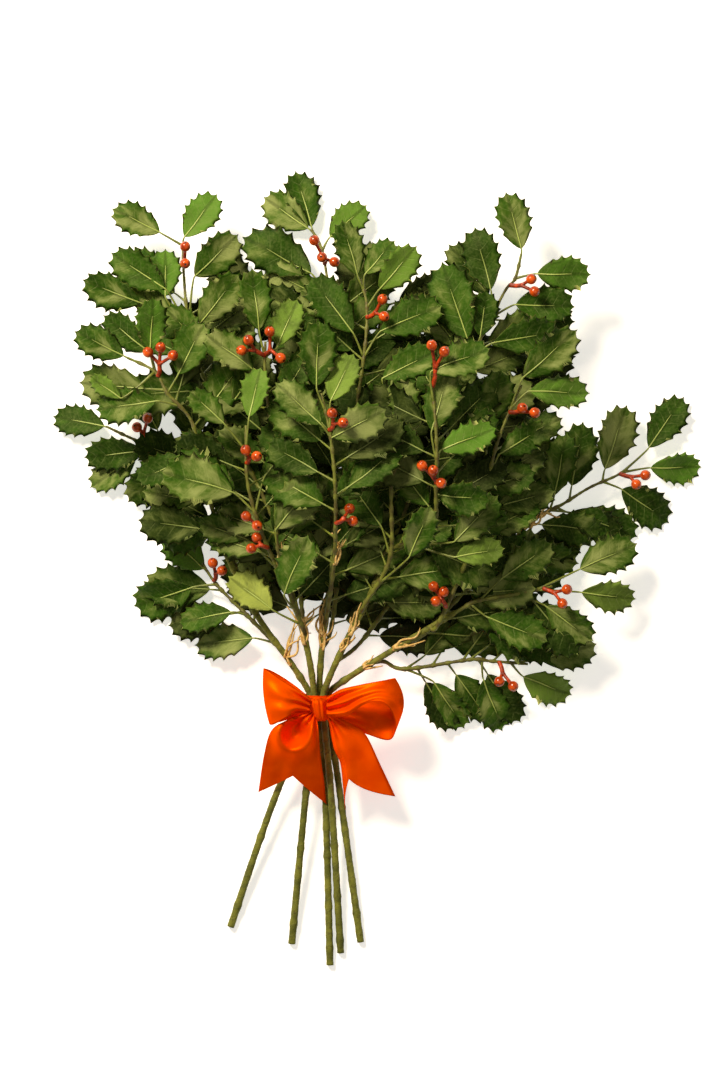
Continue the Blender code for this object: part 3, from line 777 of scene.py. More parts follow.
@dataclass(frozen=True)
class WoundTape(Finish):
    """Florists' crepe tape wound on a stem: waxy and matt, with a ridge at each turn's edge."""

    roughness: float = 0.7
    specular: float = 0.3
    turn_mm: float = 7.5
    cloud_mm: float = 9.0
    speck_mm: float = 2.2
    crease_mm: float = 0.9
    relief_mm: float = 0.6
    light: str = "#787c2e"
    dark: str = "#545a1c"
    speck: str = "#433a16"
    shade_under_turn: str = "#3b4419"

    def pattern(self, add: Adder) -> dict[str, Any]:
        """Olive with painted shade under each turn's edge, specked and creased.

        Args:
            add: adds a node to the material and hands on its output.

        Returns:
            The shader's colour and normal.
        """
        place = add("TexCoord", out="Object")
        around, along = self.surface(add)
        turns = add("Math", (along, 1.0 / self.turn_mm, around), operation="MULTIPLY_ADD")
        edge = add("MapRange", (add("Math", (turns,), operation="FRACT"), 0.0, 0.16, 1.0, 0.0))
        cloud = add("TexNoise", {"Vector": place, "Scale": PER_METRE / self.cloud_mm, "Detail": 3.0})
        cloud = add("MapRange", (cloud, 0.35, 0.65))
        base = add("Mix", {0: cloud, 6: colour(self.light), 7: colour(self.dark)}, 2, data_type="RGBA")
        specks = add("TexNoise", {"Vector": place, "Scale": PER_METRE / self.speck_mm, "Detail": 2.0})
        specks = add("MapRange", (specks, 0.58, 0.7, 0.0, 0.6))
        base = add("Mix", {0: specks, 6: base, 7: colour(self.speck)}, 2, data_type="RGBA")
        # Painted shade: a dark band just under each turn's raised edge.
        shade = add("Math", (edge, 0.5), operation="MULTIPLY")
        base = add("Mix", {0: shade, 6: base, 7: colour(self.shade_under_turn)}, 2, data_type="RGBA")
        creases = add("TexNoise", {"Vector": place, "Scale": PER_METRE / self.crease_mm, "Detail": 3.0})
        creases = add("Math", (edge, -0.8, creases), operation="MULTIPLY_ADD")
        normal = add("Bump", {"Height": creases, "Strength": 0.7, "Distance": self.relief_mm * MM})
        return {"Base Color": base, "Normal": normal}


@dataclass(frozen=True)
class LacqueredBerry(Finish):
    """Foam berry dipped in orange-red lacquer: glossy, deeper red in places, with a dark end."""

    roughness: float = 0.28
    specular: float = 0.35
    coat: float = 0.3
    coat_roughness: float = 0.08
    cloud_mm: float = 4.0
    light: str = "#d2540a"
    deep: str = "#8a2c04"
    end: str = "#2a0f06"

    def pattern(self, add: Adder) -> dict[str, Any]:
        """A clouded red with a dark far end, under a hard clear coat.

        Args:
            add: adds a node to the material and hands on its output.

        Returns:
            The shader's colour and coat.
        """
        place = add("TexCoord", out="Object")
        _, along = self.surface(add)
        cloud = add("TexNoise", {"Vector": place, "Scale": PER_METRE / self.cloud_mm, "Detail": 2.0})
        cloud = add("MapRange", (cloud, 0.35, 0.65))
        base = add("Mix", {0: cloud, 6: colour(self.light), 7: colour(self.deep)}, 2, data_type="RGBA")
        end = add("MapRange", (along, 0.9, 0.95))
        base = add("Mix", {0: end, 6: base, 7: colour(self.end)}, 2, data_type="RGBA")
        return {"Base Color": base, "Coat Weight": self.coat, "Coat Roughness": self.coat_roughness}


@dataclass(frozen=True)
class WovenSatin(Finish):
    """Polyester satin: long floats lie one way, so the gleam spreads across the ribbon's length.

    The ribs are drawn coarser than real threads, as fine as shows from above. Soft patches of painted
    shade lie over the cloth's colour.

    Attributes:
        metallic: gives the gleam the cloth's own colour, as its floats do.
        gleam: the tint of the gleam.
        thread_mm: from one rib of the weave to the next.
        selvedge: the woven edge's width, as a share of the ribbon's.
    """

    roughness: float = 0.48
    specular: float = 0.0
    metallic: float = 0.42
    anisotropic: float = 0.3
    thread_mm: float = 0.45
    selvedge: float = 0.03
    cloud_mm: float = 14.0
    relief_mm: float = 0.1
    light: str = "#f25400"
    deep: str = "#e44800"
    edge: str = "#b42e00"
    gleam: str = "#ffa060"

    def pattern(self, add: Adder) -> dict[str, Any]:
        """Coloured floats under soft patches of painted shade, a darker selvedge, and a weave finely ribbed
        across its width.

        Args:
            add: adds a node to the material and hands on its output.

        Returns:
            The shader's colour, gleam and normal.
        """
        across, along = self.surface(add)
        place = add("TexCoord", out="Object")
        # Painted shade: soft darker patches about 14 mm across over the orange.
        cloud = add("TexNoise", {"Vector": place, "Scale": PER_METRE / self.cloud_mm, "Detail": 2.0})
        cloud = add("MapRange", (cloud, 0.35, 0.65))
        base = add("Mix", {0: cloud, 6: colour(self.light), 7: colour(self.deep)}, 2, data_type="RGBA")
        outer = add("Math", (add("Math", (across, 0.5), operation="SUBTRACT"),), operation="ABSOLUTE")
        edge = add("MapRange", (outer, 0.5 - self.selvedge, 0.5 - self.selvedge * 0.6, 0.0, 0.45))
        base = add("Mix", {0: edge, 6: base, 7: colour(self.edge)}, 2, data_type="RGBA")
        threads = add("Math", (along, 2 * math.pi / self.thread_mm), operation="MULTIPLY")
        ribs = add("Math", (threads,), operation="SINE")
        normal = add("Bump", {"Height": ribs, "Strength": 0.06, "Distance": self.relief_mm * MM})
        return {"Base Color": base, "Normal": normal, "Metallic": self.metallic,
                "Anisotropic": self.anisotropic, "Specular Tint": colour(self.gleam)}


@dataclass(frozen=True)
class FrayedRaffia(Finish):
    """Dry plant fibre, straw-coloured and streaked, left frayed where sprays were bound on."""

    roughness: float = 0.85
    specular: float = 0.2
    streak_mm: float = 2.5
    light: str = "#dcc284"
    dark: str = "#b48e4a"

    def pattern(self, add: Adder) -> dict[str, Any]:
        """Two straw colours in streaks.

        Args:
            add: adds a node to the material and hands on its output.

        Returns:
            The shader's colour.
        """
        place = add("TexCoord", out="Object")
        streak = add("TexNoise", {"Vector": place, "Scale": PER_METRE / self.streak_mm, "Detail": 3.0})
        streak = add("MapRange", (streak, 0.35, 0.65))
        base = add("Mix", {0: streak, 6: colour(self.light), 7: colour(self.dark)}, 2, data_type="RGBA")
        return {"Base Color": base}


@dataclass(frozen=True)
class Wardrobe:
    """Every material of the bunch, made once."""

    leaf: bpy.types.Material
    underside: bpy.types.Material
    rib: bpy.types.Material
    twig: bpy.types.Material
    tape: bpy.types.Material
    berry: bpy.types.Material
    berry_stalk: bpy.types.Material
    satin: bpy.types.Material
    raffia: bpy.types.Material

    @classmethod
    def stocked(cls) -> "Wardrobe":
        """A wardrobe with each finish made into its material."""
        return cls(
            leaf=PrintedLeafTop("printed and coated polyester leaf").material(),
            underside=PrintedLeafUnderside("uncoated leaf back").material(),
            rib=MouldedRib("moulded polyethylene stalk and rib").material(),
            twig=MouldedTwig("moulded polyethylene twig").material(),
            tape=WoundTape("wound florists' tape").material(),
            berry=LacqueredBerry("lacquered foam berry").material(),
            berry_stalk=MouldedTwig("dyed berry stalk", 0.45, light="#b83c06", dark="#6e2003",
                                    patch_mm=3.0).material(),
            satin=WovenSatin("woven polyester satin").material(),
            raffia=FrayedRaffia("frayed raffia").material(),
        )


@dataclass
class LeafPlaces:
    """Where a batch of leaves stand, one to a row.

    Attributes:
        fork: where each stalk leaves its twig.
        base: the blade's end at the stalk.
        tip: its other end.
        roll: how far it is turned about its midrib, in degrees.
        tone: its age, on the scale of Tone, lowered as painted shade on leaves set by rule.
    """

    fork: Array
    base: Array
    tip: Array
    roll: Array
    tone: Array

    def joined(self, other: "LeafPlaces") -> "LeafPlaces":
        """These leaves and the others."""
        return LeafPlaces(*(np.concatenate([getattr(self, part.name), getattr(other, part.name)])
                            for part in fields(self)))

    def clear_of(self, berries: Array, gap: float) -> "LeafPlaces":
        """The leaves that leave the berries in sight.

        Args:
            berries: the berries' centres.
            gap: how far a midrib must pass to the side of a berry that the leaf would lie over.

        Returns:
            These leaves without those that lie over a berry or close under it.
        """
        run = (self.tip - self.base)[:, None]
        toward = berries[None] - self.base[:, None]
        share = (toward[..., :2] * run[..., :2]).sum(axis=-1) / (run[..., :2] ** 2).sum(axis=-1)
        off = toward - np.clip(share, 0.0, 1.0)[..., None] * run
        hidden = (np.hypot(off[..., 0], off[..., 1]) < gap) & (off[..., 2] < gap / 3.0)
        kept = ~hidden.any(axis=1)
        return LeafPlaces(*(getattr(self, part.name)[kept] for part in fields(self)))


@dataclass(frozen=True)
class HollyLeaf:
    """A holly leaf: a wedge that widens past its middle, then a blunt spiny end, on a slender stalk.

    Attributes:
        slenderness: the widest place as a share of the length.
        smooth: the share of the margin next to the stalk that bears no spines.
        smooth_rows: the rows of points in that share.
        spines: how many spines stand along each side, the tip included.
        rows_to_spine: the rows of points from one spine to the next.
        spine: how far a spine stands out, as a share of the length.
        lean: how far a spine leans towards the tip, against how far it stands out.
        fold: how steeply the two halves rise from the midrib.
        sag: how far the tip hangs down, as a share of the length.
        ripple: how high the margins wave, as a share of the length.
        thickness: from the face to the back at the midrib.
        rib_share: how much of the blade the moulded midrib runs along.
        columns: the places across the face, from -1 to 1.
        back_columns: the places across the back, from the last of these round to the first.
    """

    slenderness: float = 0.63
    smooth: float = 0.33
    smooth_rows: int = 5
    spines: int = 5
    rows_to_spine: int = 7
    spine: float = 0.078
    lean: float = 0.45
    fold: float = 0.2
    sag: float = 0.06
    ripple: float = 0.035
    thickness: float = 0.5
    rib_share: float = 0.7
    columns: tuple[float, ...] = (-1.0, -0.74, -0.38, 0.0, 0.38, 0.74, 1.0)
    back_columns: tuple[float, ...] = (0.5, 0.0, -0.5, -1.0)

    def outline(self) -> tuple[Array, Array, Array, Array]:
        """The margin of a leaf one long.

        The half-width is t^0.78 (1 - t)^0.52, scaled to the slenderness. Rows are spaced along the
        margin and not along the midrib, and the spines are cusps: |2p - 1|^2.2, where p runs from 0
        to 1 from one spine to the next. Each stands out from the margin and leans towards the tip.

        Returns:
            For each row, its place along the midrib, its half-width, the spine's height there, and
            the margin's outward direction (along, aside).
        """
        t = np.linspace(0.0, 1.0, OUTLINE_SAMPLES)
        half = t**0.78 * (1.0 - t) ** 0.52
        half = 0.5 * self.slenderness * half / half.max()
        run = np.concatenate([[0.0], np.cumsum(np.hypot(np.diff(t), np.diff(half)))])
        start = np.linspace(0.0, self.smooth, self.smooth_rows + 1)[:-1]
        spiny = np.linspace(self.smooth, 1.0, self.spines * self.rows_to_spine + 1)
        stations = np.concatenate([start, spiny]) * run[-1]
        place, width = np.interp(stations, run, t), np.interp(stations, run, half)
        phase = (np.arange(len(spiny)) / self.rows_to_spine) % 1.0
        cusp = np.abs(2.0 * phase - 1.0) ** 2.2 - 0.3
        height = self.spine * np.concatenate([np.zeros(len(start)), cusp])
        height[len(start)] *= 0.5
        ahead = unit(np.stack([np.gradient(place), np.gradient(width)], axis=1))
        outward = unit(np.stack([-ahead[:, 1], ahead[:, 0]], axis=1) + self.lean * ahead)
        outward[-1] = (1.0, 0.0)
        return place, width, height, outward

    def blades(self, places: LeafPlaces, rng: np.random.Generator) -> tuple[Array, Array, Array]:
        """The leaves' blades as thin closed lenses.

        Across the blade u runs from -1 to 1. The margins lift with the fold, wave along their
        length as a sine, turn up at each spine, and the midrib bends as the square of its length.
        The back repeats the face a leaf's thickness below and meets it at the margin. Where a blade
        would pass through the surface it lies flat on it.

        Args:
            places: where the leaves stand.
            rng: draws each leaf's small differences.

        Returns:
            The points, their places on the leaf, and the material slot of each column.
        """
        t, width, height, outward = (part[None, :, None] for part in self.outline_columns())
        u = np.array([*self.columns, *self.back_columns])[None, None, :]
        back = (np.arange(u.size) >= len(self.columns)) & (np.abs(u[0, 0]) < 1.0)
        count = len(places.base)
        length = np.linalg.norm(places.tip - places.base, axis=1)[:, None, None]
        # Seven draws to a leaf: breadth, fold, wave's start, cup, twist, hollow and lopsidedness.
        small = rng.uniform(-1.0, 1.0, (count, 7))[:, :, None, None]
        edge = np.abs(u) ** 4
        broad = 1.0 + 0.12 * small[:, 0] + 0.05 * small[:, 6] * np.sign(u)
        aside = u * length * width * broad + np.sign(u) * length * height * outward * edge
        along = length * (t + height * self.outline()[3][None, :, :1] * edge)
        full = width / width.max()
        fold = self.fold + 0.12 * small[:, 1]
        wave = self.ripple * length * np.abs(u) ** 2.5 * full
        wave = wave * np.sin(2 * math.pi * (1.6 * t + small[:, 2]) + np.sign(u))
        turned_up = 0.1 * length * height * edge
        cup = (0.06 * small[:, 3] - self.sag) * length * t**2
        twist = 0.12 * small[:, 4] * t * aside
        hollow = 0.05 * small[:, 5] * length * full * (1.0 - u**2) * np.sin(2 * math.pi * t)
        lift = fold * np.abs(aside) + wave + turned_up + cup + twist + hollow
        lift = lift - np.where(back, self.thickness, 0.0) * (1.0 - u**2) * np.minimum(full * 3, 1.0)
        forward, side, over = self.axes(places)
        points = (places.base[:, None, None] + forward[:, None, None] * along[..., None]
                  + side[:, None, None] * aside[..., None] + over[:, None, None] * lift[..., None])
        uv = np.stack(np.broadcast_arrays((u + 1.0) / 2.0, t), axis=-1)[0]
        points[..., 2] = np.maximum(points[..., 2], np.where(back, LOWEST_BACK, LOWEST_FACE))
        faces_behind = np.arange(u.size - 1) >= len(self.columns) - 1
        return points, uv, faces_behind.astype(int)

    def outline_columns(self) -> tuple[Array, Array, Array, Array]:
        """The outline's places, half-widths and spine heights, and how far each spine points aside."""
        place, width, height, outward = self.outline()
        return place, width, height, outward[:, 1]

    @staticmethod
    def axes(places: LeafPlaces) -> tuple[Array, Array, Array]:
        """Each leaf's own directions.

        Args:
            places: where the leaves stand.

        Returns:
            The ways forward, across and up, after the leaf's roll about its midrib.
        """
        forward = unit(places.tip - places.base)
        over = unit(UP - forward * forward[:, 2:])
        turn = np.radians(places.roll)[:, None]
        over = over * np.cos(turn) + np.cross(forward, over) * np.sin(turn)
        return forward, np.cross(forward, over), over

    def stalks(self, places: LeafPlaces, blades: Array) -> tuple[Array, Array]:
        """Stalks that leave the fork, bend to the blade's base and run on as its raised midrib.

        From the fork to the base each is a quadratic curve, and from there it follows the blade's
        middle column, a quarter of a millimetre above it. Its radius falls all the way.

        Args:
            places: where the leaves stand.
            blades: the blades' points.

        Returns:
            The tubes' points, and their places: below 1 on the stalk, and from 1 to 2 on the midrib.
        """
        forward, _, over = self.axes(places)
        bend = places.base - forward * 2.5 - over * 0.4
        s = np.linspace(0.0, 1.0, 9)[None, :-1, None]
        stalk = ((1 - s) ** 2 * places.fork[:, None] + 2 * s * (1 - s) * bend[:, None]
                 + s**2 * places.base[:, None])
        middle = blades[:, :, self.columns.index(0.0)] + 0.25 * over[:, None]
        rib = middle[:, self.outline()[0] < self.rib_share]
        paths = np.concatenate([stalk, rib], axis=1)
        down = np.concatenate([s[0, :, 0], 1.0 + np.linspace(0.0, 1.0, rib.shape[1])])
        radii = np.interp(down, [0.0, 0.25, 1.0, 1.7, 2.0], [1.0, 0.75, 0.5, 0.3, 0.08])
        points, uv = swept(paths, np.broadcast_to(radii, paths.shape[:2]), 6)
        points[..., 2] = np.maximum(points[..., 2], LOWEST_BACK)
        uv = uv.copy()
        uv[..., 1] = np.concatenate([down[:1], down, down[-1:]])[None, :, None]
        return points, uv


@dataclass
class Spray:
    """A twig with its leaves, built as one piece in place of its CAD node.

    Attributes:
        name: the node's name without its start.
        points: the places that the twig passes through.
        twig: points along its course, which berry stalks start from.
        places: where its leaves stand.
        seed: starts the random draws.
        leaf: the leaf's shape.
    """

    name: str
    points: list[tuple[float, ...]]
    twig: Array
    places: LeafPlaces
    seed: int
    leaf: HollyLeaf = field(default_factory=HollyLeaf)

    @classmethod
    def planned(cls, name: str, plan: SprayPlan, seed: int) -> "Spray":
        """A spray whose outer leaves are listed, with more of them down its twig by rule.

        Args:
            name: the node's name without its start.
            plan: where its parts lie.
            seed: starts the random draws.

        Returns:
            The spray, its leaves by rule kept off all berries.
        """
        path = smooth_path(plan.twig, TWIG_STEPS)
        listed = cls.listed_leaves(path, plan)
        course = smooth_path(plan.twig, RULED_STEPS)
        extra = cls.ruled_leaves(course, np.random.default_rng(seed), *INNER_LEAVES)
        extra = extra.clear_of(BerryCluster.every_berry(), BERRY_CLEARANCE)
        return cls(name, plan.twig, path, listed.joined(extra), seed)

    @classmethod
    def ruled(cls, name: str, points: list[tuple[float, ...]], seed: int) -> "Spray":
        """An undergrowth spray, all of whose leaves follow the rule and are painted in deep shade.

        Args:
            name: the node's name without its start.
            points: the places that the twig passes through.
            seed: starts the random draws.

        Returns:
            The spray.
        """
        course = smooth_path(points, RULED_STEPS)
        # Painted shade: undergrowth leaves take the deep end of the scale.
        places = cls.ruled_leaves(course, np.random.default_rng(seed), *UNDERGROWTH_LEAVES, Tone.DEEP_SHADE)
        return cls(name, points, course, places, seed)

    @staticmethod
    def listed_leaves(path: Array, plan: SprayPlan) -> LeafPlaces:
        """The listed leaves, each forking from the twig's nearest place, a step nearer the root.

        Args:
            path: points along the twig.
            plan: the leaves' list, and which of them are young.

        Returns:
            The leaves' places.
        """
        rows = []
        for index, (base_x, base_y, tip_x, tip_y, *heights) in enumerate(plan.leaves):
            gaps = np.hypot(path[:, 0] - base_x, path[:, 1] - base_y)
            fork = path[max(int(gaps.argmin()) - 1, 0)]
            tilt = math.tan(math.radians(LEAF_TILTS[index % len(LEAF_TILTS)]))
            run = math.hypot(tip_x - base_x, tip_y - base_y)
            low = fork[2] + LEAF_RISE
            base_z, tip_z = heights or (low, low + run * tilt)
            tone = Tone.FRESH if index in plan.fresh else Tone.PALE if index in plan.pale else Tone.GROWN
            rows.append([*fork, base_x, base_y, base_z, tip_x, tip_y, tip_z,
                         LEAF_ROLLS[index % len(LEAF_ROLLS)], tone.value])
        table = np.array(rows)
        return LeafPlaces(table[:, :3], table[:, 3:6], table[:, 6:9], table[:, 9], table[:, 10])

    @staticmethod
    def ruled_leaves(path: Array, rng: np.random.Generator, span: tuple[float, float], spacing: float,
                     tone: Tone = Tone.GROWN) -> LeafPlaces:
        """Leaves in turn to the left and right of a twig.

        Args:
            path: the twig.
            rng: draws each leaf's turn, length, tilt and roll.
            span: how far from the tie the first leaf stands, and the share of the twig that bears leaves.
            spacing: the distance from one leaf to the next.
            tone: the leaves' age, or the deep end of the scale, which is painted shade.

        Returns:
            The leaves' places, none lower than the surface.
        """
        even, marks = evenly(path, 1.0)
        clear = np.hypot(even[:, 0] - TIE[0], even[:, 1] - TIE[1])
        first = marks[np.argmax(clear > span[0])] if (clear > span[0]).any() else marks[-1]
        stations = np.arange(first, marks[-1] * span[1], spacing)
        if len(stations) == 0:
            stations = np.array([marks[-1] * 0.5])
        count = len(stations)
        index = np.searchsorted(marks, stations).clip(1, len(even) - 2)
        ahead = unit(even[index + 1] - even[index - 1])
        turn = np.where(np.arange(count) % 2, 1.0, -1.0) * np.radians(rng.uniform(*RULED_TURN, count))
        cos, sin = np.cos(turn), np.sin(turn)
        flat = unit(np.stack([ahead[:, 0] * cos - ahead[:, 1] * sin, ahead[:, 0] * sin + ahead[:, 1] * cos,
                              np.zeros(count)], axis=1))
        fork = even[index]
        base = fork + flat * rng.uniform(*RULED_STALK, (count, 1))
        base[:, 2] += rng.uniform(*RULED_BASE_RISE, count)
        tip = base + flat * rng.uniform(*RULED_LENGTH, (count, 1))
        tip[:, 2] += rng.uniform(*RULED_TIP_RISE, count)
        tip[:, 2] = np.maximum(tip[:, 2], 4.0)
        base[:, 2] = np.maximum(base[:, 2], 5.0)
        # Painted shade: each leaf set by rule is painted darker than its tone, by up to 0.2.
        tones = np.clip(tone.value + rng.uniform(-0.2, 0.0, count), 0.0, 1.0)
        return LeafPlaces(fork, base, tip, rng.uniform(-20, 20, count), tones)

    def twig_tube(self) -> tuple[Array, Array]:
        """The twig, from the stem it grows on.

        It narrows evenly outwards, swells by exp(-(d / 1.8)^2) of 0.5 mm at a distance d from each
        leaf's fork, and wavers as two sines.

        Returns:
            The tube's points and their surface places.
        """
        path, marks = evenly(smooth_path([root_on_stem(np.array(self.points[0])), *self.points], 8), 1.6)
        gaps = np.linalg.norm(path[:, None] - self.places.fork[None], axis=2)
        swell = 0.5 * np.exp(-((gaps / 1.8) ** 2)).max(axis=1)
        wander = 0.08 * np.sin(marks * 1.3) + 0.06 * np.sin(marks * 0.47 + self.seed)
        radii = TWIG_RADIUS * (0.93 - 0.38 * marks / marks[-1]) + swell + wander
        return swept(path[None], radii[None], 10)

    def build(self, wardrobe: Wardrobe) -> bpy.types.Object:
        """Make the spray's mesh, put it in place of its node and dress it.

        Args:
            wardrobe: the materials.

        Returns:
            The mesh object.
        """
        rng = np.random.default_rng(self.seed + 1000)
        piece = Patchwork(self.name + "_spray")
        blades, uv, slots = self.leaf.blades(self.places, rng)
        seeds = rng.uniform(0.0, 1.0, len(blades))
        jitter = np.clip(self.places.tone + rng.uniform(-0.07, 0.07, len(blades)), 0.0, 1.0)
        piece.add(blades, uv, slots, tone=jitter, seed=seeds)
        stalks, stalk_uv = self.leaf.stalks(self.places, blades)
        piece.add(stalks, stalk_uv, 2, tone=jitter)
        piece.add(*self.twig_tube(), 3)
        made = piece.make([wardrobe.leaf, wardrobe.underside, wardrobe.rib, wardrobe.twig])
        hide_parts("spray_" + self.name)
        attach(made, "root")
        return made


@dataclass
class BerryCluster:
    """Lacquered berries on a forked stalk.

    Attributes:
        name: the node's name, or the piece's own where it has no node.
        twig: points along the twig that it grows on.
        berries: each berry's place in plan.
        radius: a berry's.
        stalk_radius: the stalk's.
        setback: how far back along the twig from the berries the stalk starts.
        has_node: whether it stands in place of a CAD node.
    """

    name: str
    twig: Array
    berries: list[tuple[float, float]]
    radius: float = 3.4
    stalk_radius: float = 1.3
    setback: int = 6
    has_node: bool = True

    def places(self) -> tuple[Array, Array, Array]:
        """Where the cluster's parts are.

        Returns:
            The stalk's foot on the twig, its fork halfway out, and the berries' centres.
        """
        centres = np.array([(x, y, 0.0) for x, y in self.berries])
        middle = centres.mean(axis=0)
        nearest = int(np.hypot(*(self.twig[:, :2] - middle[:2]).T).argmin())
        root = self.twig[max(nearest - 1, 0)]
        course = evenly(self.twig, 1.0)[0]
        beside = int(np.hypot(*(course[:, :2] - middle[:2]).T).argmin())
        foot = course[max(beside - self.setback, 0)] + UP * 0.6
        away = (middle - foot) * np.array([1.0, 1.0, 0.0])
        fork = foot + away * 0.5 + UP * 4.4
        centres[:, 2] = root[2] + BERRY_HEIGHT + 1.2 * (np.arange(len(centres)) % 2)
        return foot, fork, centres

    @classmethod
    def every_berry(cls) -> Array:
        """The centre of every berry of the bunch.

        Returns:
            The centres, one to a row.
        """
        listed = [(name, berries) for name, plan in SPRAYS.items() for berries in plan.berries]
        return np.concatenate([cls("", smooth_path(SPRAYS[name].twig, TWIG_STEPS), berries).places()[2]
                               for name, berries in (*listed, *INNER_BERRIES)])

    def fruit(self, fork: Array, centres: Array) -> tuple[Array, Array]:
        """Berries as turned shapes: a sphere a little longer than wide, dimpled where the stalk joins.

        At angle a from the stalk, the distance from the centre is r (1 - 0.16 exp(-(3 a)^2)), less a
        dent of 0.1 r round the dark end.

        Args:
            fork: where the branches part.
            centres: the berries' centres.

        Returns:
            The points, and their places round and along a berry.
        """
        angle = np.linspace(0.0, math.pi, 17)[None, :, None]
        turn = np.linspace(0.0, 2 * math.pi, 25)[None, None, :]
        dent = 0.16 * np.exp(-((3 * angle) ** 2)) + 0.1 * np.exp(-(((angle - math.pi) * 5) ** 2))
        reach = self.radius * (1.0 - dent)
        axis = unit(centres - fork)
        helper = np.where(np.abs(axis[:, 2:]) > 0.9, np.array([1.0, 0.0, 0.0]), UP)
        side = unit(np.cross(axis, helper))
        other = np.cross(axis, side)
        axis, side, other = (v[:, None, None] for v in (axis, side, other))
        points = centres[:, None, None] - axis * (1.04 * reach * np.cos(angle))[..., None]
        points = points + side * (reach * np.sin(angle) * np.cos(turn))[..., None]
        points = points + other * (reach * np.sin(angle) * np.sin(turn))[..., None]
        uv = np.stack(np.broadcast_arrays(turn / (2 * math.pi), angle / math.pi), axis=-1)[0]
        return points, uv

    def stalks(self, foot: Array, fork: Array, centres: Array) -> list[tuple[Array, Array]]:
        """The trunk from foot to fork and a curved branch to each berry, thickest at their ends.

        Args:
            foot: where the trunk leaves the twig.
            fork: where the branches part.
            centres: the berries' centres.

        Returns:
            The points and surface places of the trunk, and then of the branches.
        """
        trunk = smooth_path(np.array([foot, (foot + fork) / 2 + np.array([0.6, -0.4, 0.3]), fork]), 5)
        s = np.linspace(0.0, 1.0, 11)[None, :, None]
        bend = fork + (centres - fork) * 0.55 - UP * 1.6
        ends = centres - unit(centres - fork) * self.radius * 0.8
        arms = (1 - s) ** 2 * fork + 2 * s * (1 - s) * bend[:, None] + s**2 * ends[:, None]
        radii = self.stalk_radius * (0.85 + 0.45 * (2 * s[..., 0] - 1) ** 4)
        trunk_radii = np.full((1, len(trunk)), self.stalk_radius * 1.15)
        return [swept(trunk[None], trunk_radii, 9), swept(arms, np.broadcast_to(radii, arms.shape[:2]), 9)]

    def build(self, wardrobe: Wardrobe) -> bpy.types.Object:
        """Make the cluster, in place of its node if it has one.

        Args:
            wardrobe: the materials.

        Returns:
            The mesh object.
        """
        foot, fork, centres = self.places()
        piece = Patchwork(self.name + "_cluster")
        piece.add(*self.fruit(fork, centres), 0)
        for points, uv in self.stalks(foot, fork, centres):
            piece.add(points, uv, 1)
        made = piece.make([wardrobe.berry, wardrobe.berry_stalk])
        if self.has_node:
            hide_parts(self.name)
        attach(made, "root")
        return made


@dataclass
class TapedStem:
    """A main stem wound with tape, lumpy where old leaves were, cut off square at its lower end.

    Attributes:
        name: the node's name.
        points: the places that it passes through.
        seed: starts the random draws.
        sides: how many faces go round it.
        lump_spacing: from one lump to the next.
    """

    name: str
    points: list[tuple[float, ...]]
    seed: int
    sides: int = 16
    lump_spacing: float = 27.0

    def build(self, wardrobe: Wardrobe) -> bpy.types.Object:
        """Make the stem in place of its node.

        Its radius falls to 0.8 of itself at the top, swells by up to 0.5 mm at each lump, steps
        with each turn of the tape and wavers a little. Its underside is flat where it lies on the surface.

        Args:
            wardrobe: the materials.

        Returns:
            The mesh object.
        """
        path, marks = evenly(smooth_path(self.points, STEM_STEPS), 1.2)
        rng = np.random.default_rng(self.seed)
        lumps = np.arange(14.0, marks[-1], self.lump_spacing)
        lumps = lumps + rng.uniform(-6, 6, len(lumps))
        heights = rng.uniform(0.2, 0.5, len(lumps))
        swell = (heights * np.exp(-(((marks[:, None] - lumps) / 2.4) ** 2))).sum(axis=1)
        step = 0.1 * ((marks / WoundTape.turn_mm) % 1.0)
        waver = 0.07 * np.sin(marks * 0.61 + self.seed) + 0.05 * np.sin(marks * 1.7)
        radii = STEM_RADIUS * (1.0 - 0.2 * marks / marks[-1]) - 0.1 + swell + step + waver
        piece = Patchwork(self.name + "_taped")
        tube, uv = swept(path[None], radii[None], self.sides)
        tube[..., 2] = np.maximum(tube[..., 2], 0.0)
        piece.add(tube, uv)
        made = piece.make([wardrobe.tape])
        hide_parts(self.name)
        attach(made, "root")
        return made


@dataclass(frozen=True)
class RaffiaTuft:
    """Frayed fibres where sprays were bound on.

    Attributes:
        limb: the stem or spray that they are on.
        y: how far up the bunch they start.
        heading: which way they lean, in degrees.
        count: how many there are.
        length: how long the longest is.
    """

    limb: str
    y: float
    heading: float
    count: int = 5
    length: float = 14.0

    def place(self) -> Array:
        """The top of the limb at the tuft's height up the bunch.

        Returns:
            The place.
        """
        points = STEMS[self.limb] if self.limb in STEMS else SPRAYS[self.limb].twig
        course = evenly(smooth_path(points, STEM_STEPS), 1.0)[0]
        return course[int(np.abs(course[:, 1] - self.y).argmin())] + UP * (STEM_RADIUS - 0.6)


TUFTS = (
    RaffiaTuft("stem_1", -62, 112, 4, 12),
    RaffiaTuft("stem_1", -56, 60, 5, 28),
    RaffiaTuft("stem_2", -48, 96, 6, 30),
    RaffiaTuft("stem_2", -38, 70, 3, 20),
    RaffiaTuft("stem_3", -52, 75, 7, 22),
    RaffiaTuft("stem_3", -44, 100, 5, 30),
    RaffiaTuft("stem_4", -52, 62, 6, 20),
    RaffiaTuft("stem_4", -42, 78, 5, 24),
    RaffiaTuft("stem_5", -64, 30, 6, 13),
    RaffiaTuft("stem_5", -52, 20, 4, 22),
    RaffiaTuft("far_right", 22, 48, 7, 30),
    RaffiaTuft("far_right", 30, 62, 4, 20),
    RaffiaTuft("far_right", 34, 25, 3, 16),
    RaffiaTuft("upper_left", 150, 88, 2, 14),
    RaffiaTuft("upper_right", 128, 60, 2, 16),
    RaffiaTuft("left", 20, 110, 3, 14),
    RaffiaTuft("centre", 4, 80, 5, 26),
    RaffiaTuft("low_centre", 0, 95, 4, 24),
)


